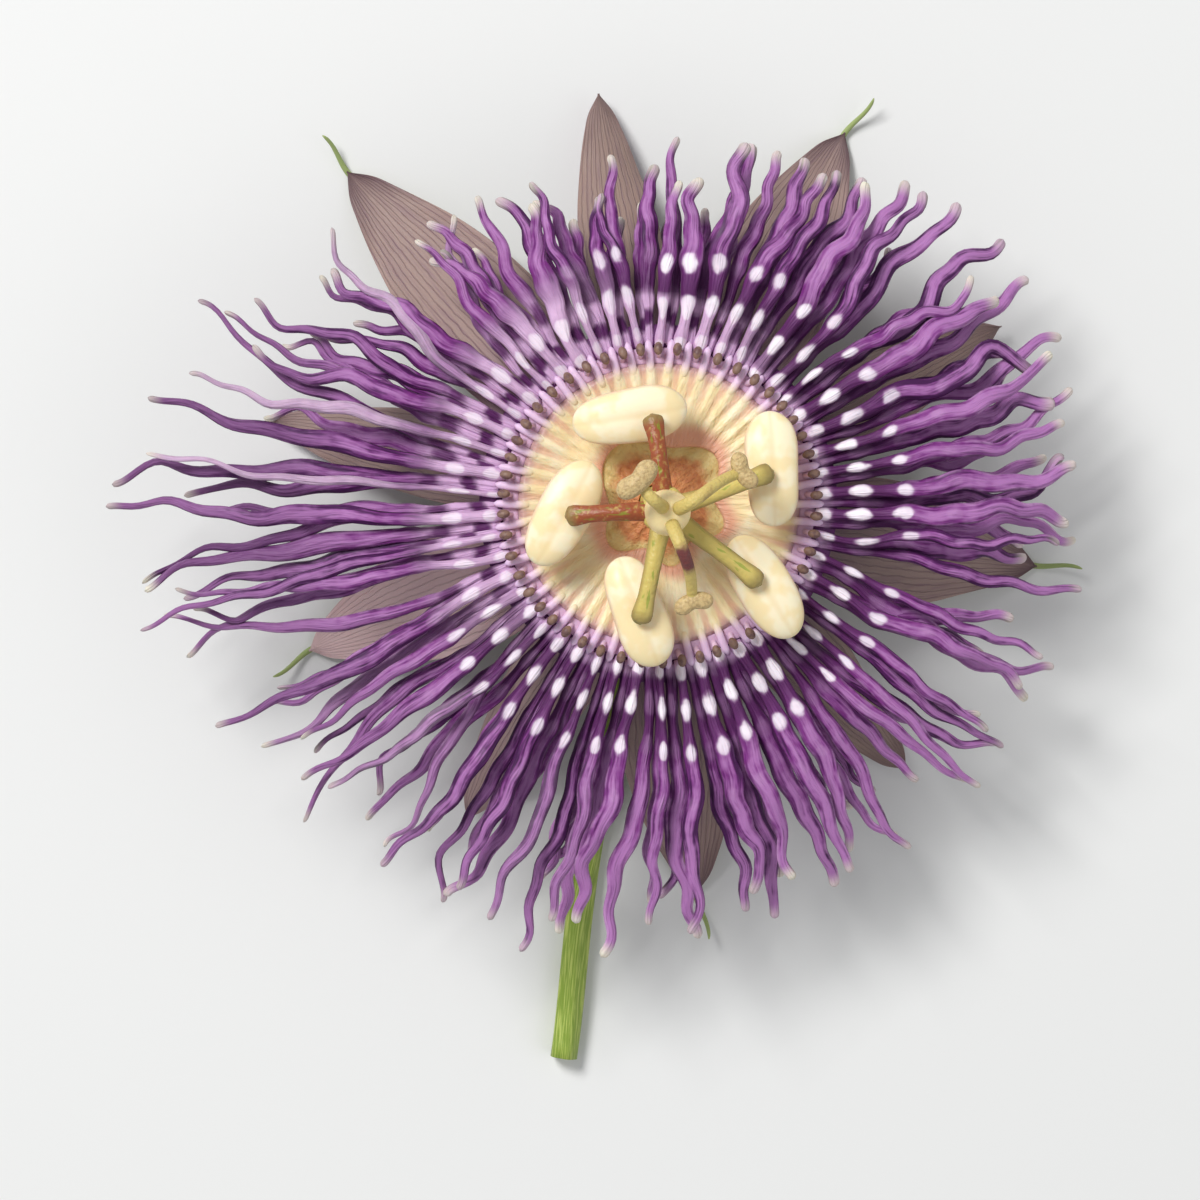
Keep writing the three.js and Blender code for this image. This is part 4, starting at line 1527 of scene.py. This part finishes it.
    def layers(self) -> Layers:
        """Finds the values that the finish reads.

        Returns:
            Distances from the axis and from the tip, each filament's shade and rank, and how
            pale, darkened and faded it is from 0 to 1: pale is painted light on the side that
            faces the light, and darkened is painted shade over the left side's outer part. The
            pale side turns and narrows outwards.
        """
        radius, further = self.radius, smooth(20.5, 23.0, self.radius)
        # pale, from the turn off about 137 degrees, is painted light on the side that faces the light.
        off = np.abs(turn_between(self.degrees, 137.0 + 22.0 * further)) / (1 - 0.35 * further)
        # Painted shade over the outer part of the left side.
        gloom = self.left * smooth(30.0, 42.0, radius) * mix(0.4, 1.0, self.raised)
        values = {"way": radius, "tip": self.length * (1 - self.share), "shade": self.shade,
                  "rank": np.array(self.rank.number), "pale": 1 - smooth(62, 95, off),
                  "gloom": gloom * (1 - self.faded),
                  "faded": self.faded * smooth(23.0, 31.0, radius)}
        return {name: value[..., None] for name, value in values.items()}

    def skin(self) -> Skin:
        """Shapes the filaments.

        Returns:
            Tubes of flattened oval section, fuller above by 0.3 (1 - across^2), and rolled to
            and fro along their length.
        """
        turn = self.degrees + self.parted() + np.degrees(self.sideways() / self.radius)
        roll = 0.6 * self.loose * wave(1.6 * self.share + self.rolled)
        across, top = rounded_box(self.sides, 1, 1)
        wide, thick = (half[..., None] for half in self.sizes())
        rings = swept(polar(self.radius, turn, self.heights()), wide * across,
                      thick * top * (1 + 0.3 * (1 - across ** 2)), roll=roll[..., None])
        return tubes(rings, {"across": across, "top": top, **self.layers()})


@dataclass
class LongCorona:
    """Three ranks of long, crimped strap-like filaments on a ring round the short ones."""

    per_rank: int = 50
    seed: int = 5
    draws_each: int = 5
    ranks: tuple[Rank, ...] = (
        Rank(0.5, 16.5, 20.7, 2.6, 3.4, 1.5, 0), Rank(0.0, 16.7, 20.1, 0.6, 4.6, 0.0, 1),
        Rank(0.25, 16.9, 20.0, 0.4, 5.4, 5.0, 2))
    outline: tuple[tuple[float, float], ...] = (
        (16.4, 19.7), (16.4, 20.5), (17.4, 20.7), (18.8, 20.2), (18.8, 19.7))
    ring_steps: int = 120
    finish: LongCoronaFinish = LongCoronaFinish()

    def build(self) -> None:
        """Makes the low ring that the filaments spring from, with its ranks."""
        ring = ring_skin(list(self.outline), self.ring_steps, 8,
                         {"way": 18.9, "across": 1.0, "tip": 20.0, "shade": 0.3})
        shape = len(self.ranks), self.per_rank, self.draws_each
        draws = repeatable(self.seed, math.prod(shape)).reshape(shape)
        skins = [Strands(rank, its).skin() for rank, its in zip(self.ranks, draws)]
        as_piece("long_filaments", together(ring, *skins), "corona_outer",
                 self.finish.material())


# ---- column, stamens and anthers ----

class Stamen(Enum):
    """Each stamen: its direction, reach, and its anther's turn from it, slide and inset."""

    ANTHER_1 = (97.0, 10.0, 92.0, 2.2, 0.0)
    ANTHER_2 = (183.0, 10.3, -122.0, 0.0, 0.0)
    ANTHER_3 = (257.0, 12.2, 33.0, 0.0, 1.1)
    ANTHER_4 = (322.0, 12.8, -21.0, 0.0, -0.7)
    ANTHER_5 = (18.0, 12.0, 75.0, 0.3, 0.0)


@dataclass(frozen=True)
class ColumnFinish:
    """Olive flesh speckled green and red-brown, redder on two of the arms, with tan at the arms' edges
    as painted shade.
    """

    olive: Colour = srgb(206, 186, 104)
    # tan: painted shade at the arms' edges
    tan: Colour = srgb(168, 146, 84)
    red: Colour = srgb(150, 78, 46)
    green: Colour = srgb(116, 150, 34)
    knob: Colour = srgb(142, 122, 72)

    def material(self) -> Material:
        """Mixes the finish.

        Returns:
            Spots of each colour where a fine noise peaks, in amounts set by the arm.
        """
        recipe = Recipe("column_flesh")
        red, way, across = map(recipe.layer, ("red", "way", "across"))
        fine, other = recipe.noise(1700), recipe.noise(1.6, 2, way * 4, across * 2, red * 9)
        # The tan at the arms' edges is painted shade.
        colour = recipe.coats(self.olive, (self.tan, across.size().rise(0.45, 1.0)),
                              (self.red, (red + fine * 0.8 - 0.4).rise(0.3, 0.6)),
                              (self.green, other.rise(0.56, 0.68) * 0.6),
                              (self.knob, way.rise(0.84, 0.95) * 0.8))
        return recipe.finished(colour, 0.42, recipe.flesh(fine, 0.15, 0.12))


@dataclass
class Column:
    """The column on the throat's floor, with five arms that carry the anthers."""

    bottom: float = 19.2
    top: float = 30.2
    post_steps: int = 60
    post_rows: int = 80
    arm_width: float = 2.0
    arm_thickness: float = 1.1
    arm_rows: int = 34
    knob_rows: int = 8
    arm_sides: int = 22
    root_height: float = 29.4
    tip_height: float = 28.7
    neck_inset: float = 0.8
    neck_length: float = 1.5
    neck_waist: float = 0.45
    neck_flare: float = 0.35
    neck_rows: int = 12
    neck_sides: int = 16
    red_arms: tuple[Stamen, ...] = (Stamen.ANTHER_1, Stamen.ANTHER_2)
    finish: ColumnFinish = ColumnFinish()

    def post(self) -> Skin:
        """Shapes the post.

        Returns:
            An outline turned round the axis, with a swollen foot, a slim neck and a collar
            below the ovary, waved by 0.03 cos(5 angle).
        """
        low, top = self.bottom, self.top
        outline = [(0.05, low), (2.1, low), (2.2, low + 0.8), (2.0, low + 2.2), (1.7, low + 4),
                   (1.7, top - 2.6), (2.1, top - 1.5), (2.5, top - 0.8), (2.3, top - 0.1),
                   (2.0, top), (0.05, top)]
        return tubes(lathe(outline, self.post_steps, self.post_rows,
                           lambda share, angle: 1 + 0.03 * np.cos(5 * angle)), {"red": 0.18})

    def arm(self, stamen: Stamen) -> Skin:
        """Shapes an arm.

        Args:
            stamen: which arm.

        Returns:
            A flat oval band that arches by 0.7 sin(pi share), narrows halfway and closes in a
            knob, its upper face ridged by 0.18 cos(3 across).
        """
        angle, reach = stamen.value[:2]
        share = np.concatenate([np.linspace(0, 0.93, self.arm_rows),
                                1 - 0.07 * np.linspace(0.9, 0, self.knob_rows) ** 1.6])
        centres = polar(mix(0.4, reach, share), angle + 1.6 * np.sin(3 * share + reach) * share,
                        mix(self.root_height, self.tip_height, share) + 0.7 * arch(share))[None]
        end = bulge(smooth(0.93, 1.0, share), 2, 0.03)
        width = np.interp(share, [0, 0.25, 0.5, 0.75, 0.9, 1], [1.25, 1.0, 0.88, 0.9, 1.12, 1.0])
        half = (self.arm_width / 2 * width * end)[:, None]
        thick = (self.arm_thickness / 2 * np.interp(share, [0, 0.8, 1], [1.2, 0.95, 1.0])
                 * end)[:, None]
        across, top = rounded_box(self.arm_sides, 1, 1)
        boxy, _ = rounded_box(self.arm_sides, 0.9, 1)
        rings = swept(centres, half * boxy, thick * top * (1 + 0.18 * np.cos(3 * across)))
        return tubes(rings, {"across": across, "way": share[:, None],
                             "red": 0.62 if stamen in self.red_arms else 0.1})

    def neck(self, stamen: Stamen) -> Skin:
        """Shapes a neck.

        Args:
            stamen: which arm's.

        Returns:
            A round tube from the arm's end down into the back of its anther, its radius the
            waist's plus neck_flare * (2 share - 1)^2.
        """
        share = np.linspace(0, 1, self.neck_rows)[:, None]
        radius = self.neck_waist + self.neck_flare * np.abs(2 * share - 1) ** 2
        ring = polar(radius, compass(self.neck_sides).T, 0.0)
        middle = polar(stamen.value[1] - self.neck_inset, stamen.value[0],
                       self.tip_height - self.neck_length * share)
        return tubes((middle + ring)[None], {"way": 0.9, "red": 0.1})

    def build(self) -> None:
        """Makes the post with its arms and their necks."""
        skins = [part(stamen) for stamen in Stamen for part in (self.arm, self.neck)]
        as_piece("column_with_arms", together(self.post(), *skins), "column",
                 self.finish.material())


@dataclass(frozen=True)
class AntherFinish:
    """Smooth cream pillow with a paler bloom and yellow pollen beneath."""

    cream: Colour = srgb(244, 224, 176)
    pale: Colour = srgb(250, 238, 208)
    groove: Colour = srgb(232, 206, 152)
    rim: Colour = srgb(234, 200, 166)
    pollen: Colour = srgb(226, 186, 84)

    def material(self) -> Material:
        """Mixes the finish.

        Returns:
            Cream that yellows in the groove and at the margins, over granular pollen.
        """
        recipe = Recipe("anther_skin")
        edge, under = recipe.layer("across").size(), recipe.layer("top").fall(-0.55, -0.2)
        soft = recipe.noise(380)
        colour = recipe.coats(self.cream, (self.pale, soft.rise(0.42, 0.6) * 0.8),
                              (self.groove, edge.fall(0.0, 0.2) * 0.35),
                              (self.rim, edge.rise(0.86, 1.0) * 0.7), (self.pollen, under))
        return recipe.finished(colour, soft * 0.2 + 0.28,
                               recipe.flesh(recipe.noise(3800) * under, 0.3, 0.3, 1.4))


@dataclass
class Anthers:
    """Flat pillows with a groove along the back, each hung across the end of its arm."""

    length: float = 12.0
    width: float = 5.6
    thickness: float = 2.2
    top: float = 27.85
    sag: float = 0.9
    groove_depth: float = 0.09
    groove_width: float = 0.2
    stations: int = 60
    sides: int = 56
    finish: AntherFinish = AntherFinish()

    def pillow(self, stamen: Stamen) -> Skin:
        """Shapes an anther.

        Args:
            stamen: which one.

        Returns:
            Rounded-box sections that close at both ends by the root of 1 - s^3.4 and sag by
            s^2, with a groove of exp(-(across / groove_width)^2) along the top.
        """
        angle, reach, turn, slide, inset = stamen.value
        lie = polar(1.0, angle + turn, 0.0)
        s = np.sin(np.linspace(-0.497, 0.497, self.stations) * math.pi)[:, None]
        middle = polar(reach - inset, angle, self.top) + lie * slide
        centres = middle + lie * (s * self.length / 2) - UP * (self.thickness / 2 + self.sag * s ** 2)
        swell = bulge(s, 3.4, 0.004)
        across, top = rounded_box(self.sides, 0.85, 0.8)
        groove = self.groove_depth * hump(across / self.groove_width) * (top > 0) * swell ** 2
        half = self.width / 2 * swell * (1 + 0.05 * np.sin(3 * s + angle))
        high = self.thickness / 2 * swell
        rings = swept(centres[None], half * across,
                      high * (top - groove) - 0.1 * half * across ** 2)
        return tubes(rings, {"across": across, "top": top})

    def build(self) -> None:
        """Makes the five pieces."""
        material = self.finish.material()
        for stamen in Stamen:
            name = stamen.name.lower()
            as_piece(f"cream_{name}", self.pillow(stamen), name, material)


# ---- ovary and styles ----

@dataclass(frozen=True)
class OvaryFinish:
    """Waxy cream with a hint of green."""

    cream: Colour = srgb(255, 230, 170)
    green: Colour = srgb(250, 218, 138)

    def material(self) -> Material:
        """Mixes the finish.

        Returns:
            Cream that turns greener below the middle.
        """
        recipe = Recipe("ovary_skin")
        soft = recipe.noise(520)
        upper = (recipe.layer("rise") + soft * 0.3 - 0.15).rise(0.1, 0.5)
        return recipe.finished(recipe.coats(self.green, (self.cream, upper)), 0.34,
                               recipe.flesh(soft, 0.2, 0.15, 0.8))


@dataclass(frozen=True)
class StyleFinish:
    """Olive-tan styles flushed brown-purple, with granular stigmas."""

    olive: Colour = srgb(206, 184, 108)
    flush: Colour = srgb(112, 58, 56)
    stigma: Colour = srgb(204, 178, 126)
    grain: Colour = srgb(160, 132, 88)

    def material(self) -> Material:
        """Mixes the finish.

        Returns:
            A flush in blotches along the style, and a fine grain on the stigma.
        """
        recipe = Recipe("style_flesh")
        way, grain = recipe.layer("way"), recipe.noise(3000)
        band = way.rise(0.2, 0.42) * way.fall(0.46, 0.72) * recipe.layer("flush")
        head = recipe.coats(self.stigma, (self.grain, grain.rise(0.4, 0.65) * 0.6))
        colour = recipe.coats(
            self.olive, (self.flush, (band + recipe.noise(900) * 0.7 - 0.35).rise(0.1, 0.8)),
            (head, way.rise(1.2, 1.5)))
        return recipe.finished(colour, 0.46, recipe.flesh(grain, 0.18, 0.12))


class StyleShape(Enum):
    """Each style: direction, reach, height at its crest and tip, flush, and stigma's size."""

    STYLE_1 = (286.0, 9.2, 37.6, 33.6, 1.0, 1.0)
    STYLE_2 = (133.0, 4.6, 38.4, 39.2, 0.2, 1.25)
    STYLE_3 = (29.0, 8.4, 37.8, 34.2, 0.3, 1.0)


@dataclass
class Pistil:
    """The ovary with its three styles, each ending in a kidney-shaped stigma."""

    radius: float = 2.4
    bottom: float = 30.5
    top: float = 36.3
    furrow_depth: float = 0.035
    furrow_angle: float = 75.0
    ovary_rows: int = 44
    ovary_steps: int = 72
    root_radius: float = 0.9
    sunk: float = 0.9
    style_root_size: float = 0.8
    style_tip_size: float = 0.56
    style_sides: int = 18
    stigma_length: float = 3.8
    stigma_width: float = 2.0
    stigma_thickness: float = 1.6
    stigma_sides: int = 24
    stations: int = 40
    ovary_finish: OvaryFinish = OvaryFinish()
    style_finish: StyleFinish = StyleFinish()

    def ovary(self) -> Skin:
        """Shapes the ovary.

        Returns:
            An ellipsoid by latitude and angle, with three shallow furrows, each below a
            style, by the cube of half of 1 + cos(3 angle).
        """
        latitude = np.linspace(-0.495, 0.495, self.ovary_rows)[:, None] * math.pi
        angle = round_angles(self.ovary_steps)
        turn = angle - math.radians(self.furrow_angle)
        furrow = 1 - self.furrow_depth * (0.5 + 0.5 * np.cos(3 * turn)) ** 3
        points = polar(self.radius * np.cos(latitude) * furrow, np.degrees(angle),
                       self.bottom + (self.top - self.bottom) / 2 * (1 + np.sin(latitude)))
        return tubes(points[None], {"rise": 0.5 + 0.5 * np.sin(latitude)})

    def style(self, shape: StyleShape) -> Skin:
        """A style that arches up and over, with its stigma.

        Args:
            shape: which style.

        Returns:
            A tapering tube along the cubic through four heights, sunk into the ovary, and a
            bent pad across its end, thickest in its two lobes.
        """
        angle, reach, crest, tip, flush, scale = shape.value
        share = np.linspace(0, 1, self.stations)
        heights = [self.top - self.sunk, crest, mix(crest, tip, 0.45), tip]
        cubic = np.polyfit([0, 0.3, 0.68, 1.0], heights, 3)
        centres = polar(mix(self.root_radius, reach, share), angle + 4 * arch(share),
                        np.polyval(cubic, share))[None]
        size = (mix(self.style_root_size, self.style_tip_size, share ** 0.6)
                * bulge((1 - share / 0.04).clip(0), 2, 0.05))[:, None]
        stem = ovals(centres, size, size, self.style_sides,
                     {"way": share[:, None], "flush": flush})
        s = np.sin(np.linspace(-0.49, 0.49, self.stations) * math.pi)[:, None]
        middle = (polar(reach + 0.3, angle, tip + 0.2)
                  + polar(1.0, angle + 90, 0.0) * (s * scale * self.stigma_length / 2)
                  + polar(1.0, angle, 0.0) * (0.8 * s * s))
        swell = scale * bulge(s, 4, 0.01) * (0.84 + 0.2 * np.abs(s))
        pad = ovals(middle[None], swell * self.stigma_width / 2, swell * self.stigma_thickness / 2,
                    self.stigma_sides, {"way": 2.0, "flush": flush})
        return together(stem, pad)

    def build(self) -> None:
        """Makes the ovary and the styles."""
        as_piece("waxy_ovary", self.ovary(), "ovary", self.ovary_finish.material())
        material = self.style_finish.material()
        for shape in StyleShape:
            name = shape.name.lower()
            as_piece(f"arched_{name}", self.style(shape), name, material)


# ---- studio ----

@dataclass
class Studio:
    """A plain pale floor, soft light from the upper left, and a camera above, in metres."""

    floor_size: float = 1.6
    floor_drop: float = 2e-4
    floor_colour: Colour = srgb(226, 226, 224)
    key: tuple[float, float, Place] = (12.0, 0.36, (-0.5, 0.55, 0.9))
    fill: tuple[float, float, Place] = (1.6, 0.8, (0.7, -0.3, 0.7))
    sky: float = 0.42
    sky_colour: Colour = (0.95, 0.97, 1.0, 1.0)
    distance: float = 0.75
    frame_width: float = 0.126
    aim: Place = (0.0, -0.001, 0.018)
    towards: Place = (-0.06, 0.08, 1.0)

    def lamp(self, name: str, power: float, size: float, place: Place) -> None:
        """Adds a square soft light, aimed at the bloom.

        Args:
            name: its name.
            power: its power in watts.
            size: the length of its sides.
            place: where it stands.
        """
        light = bpy.data.lights.new(name, "AREA")
        light.energy, light.size = power, size
        lamp = placed(name, light)
        lamp.location = place
        lamp.rotation_euler = (Vector(self.aim) - Vector(place)).to_track_quat("-Z", "Y").to_euler()

    def floor(self) -> None:
        """Adds the floor as a plain square just below the bloom."""
        half = self.floor_size / 2
        mesh = bpy.data.meshes.new("floor")
        mesh.from_pydata([(x * half, y * half, -self.floor_drop) for x, y in (
            (-1, -1), (1, -1), (1, 1), (-1, 1))], [], [(0, 1, 2, 3)])
        mesh.materials.append(Recipe("pale_floor").finished(self.floor_colour, 0.8))
        placed("floor", mesh)

    def camera(self) -> None:
        """Adds the camera, looking down at the flower's face with +Y up in the picture."""
        data = bpy.data.cameras.new("camera")
        data.sensor_width = 36.0
        data.lens = data.sensor_width * self.distance / self.frame_width
        camera = placed("camera", data)
        out = Vector(self.towards).normalized()
        camera.location = Vector(self.aim) + out * self.distance
        right = Vector((0, 1, 0)).cross(out).normalized()
        camera.rotation_euler = Matrix((right, out.cross(right), out)).transposed().to_euler()
        bpy.context.scene.camera = camera

    def build(self) -> None:
        """Sets the stage."""
        scene = bpy.context.scene
        scene.view_settings.view_transform = "Standard"
        world = bpy.data.worlds.new("soft_sky")
        world.use_nodes = True
        background = world.node_tree.nodes["Background"]
        background.inputs["Color"].default_value = self.sky_colour
        background.inputs["Strength"].default_value = self.sky
        scene.world = world
        self.lamp("key", *self.key)
        self.lamp("fill", *self.fill)
        self.floor()
        self.camera()


# ---- the whole bloom ----


def main() -> None:
    """Builds the bloom from the stalk up, then the studio."""
    logging.basicConfig(level=logging.INFO, format="%(message)s")
    for part in (Stalk(), Calyx(), Disc(), Operculum(), ShortCorona(), LongCorona(), Column(),
                 Anthers(), Pistil(), Studio()):
        part.build()


if __name__ == "__main__":
    main()
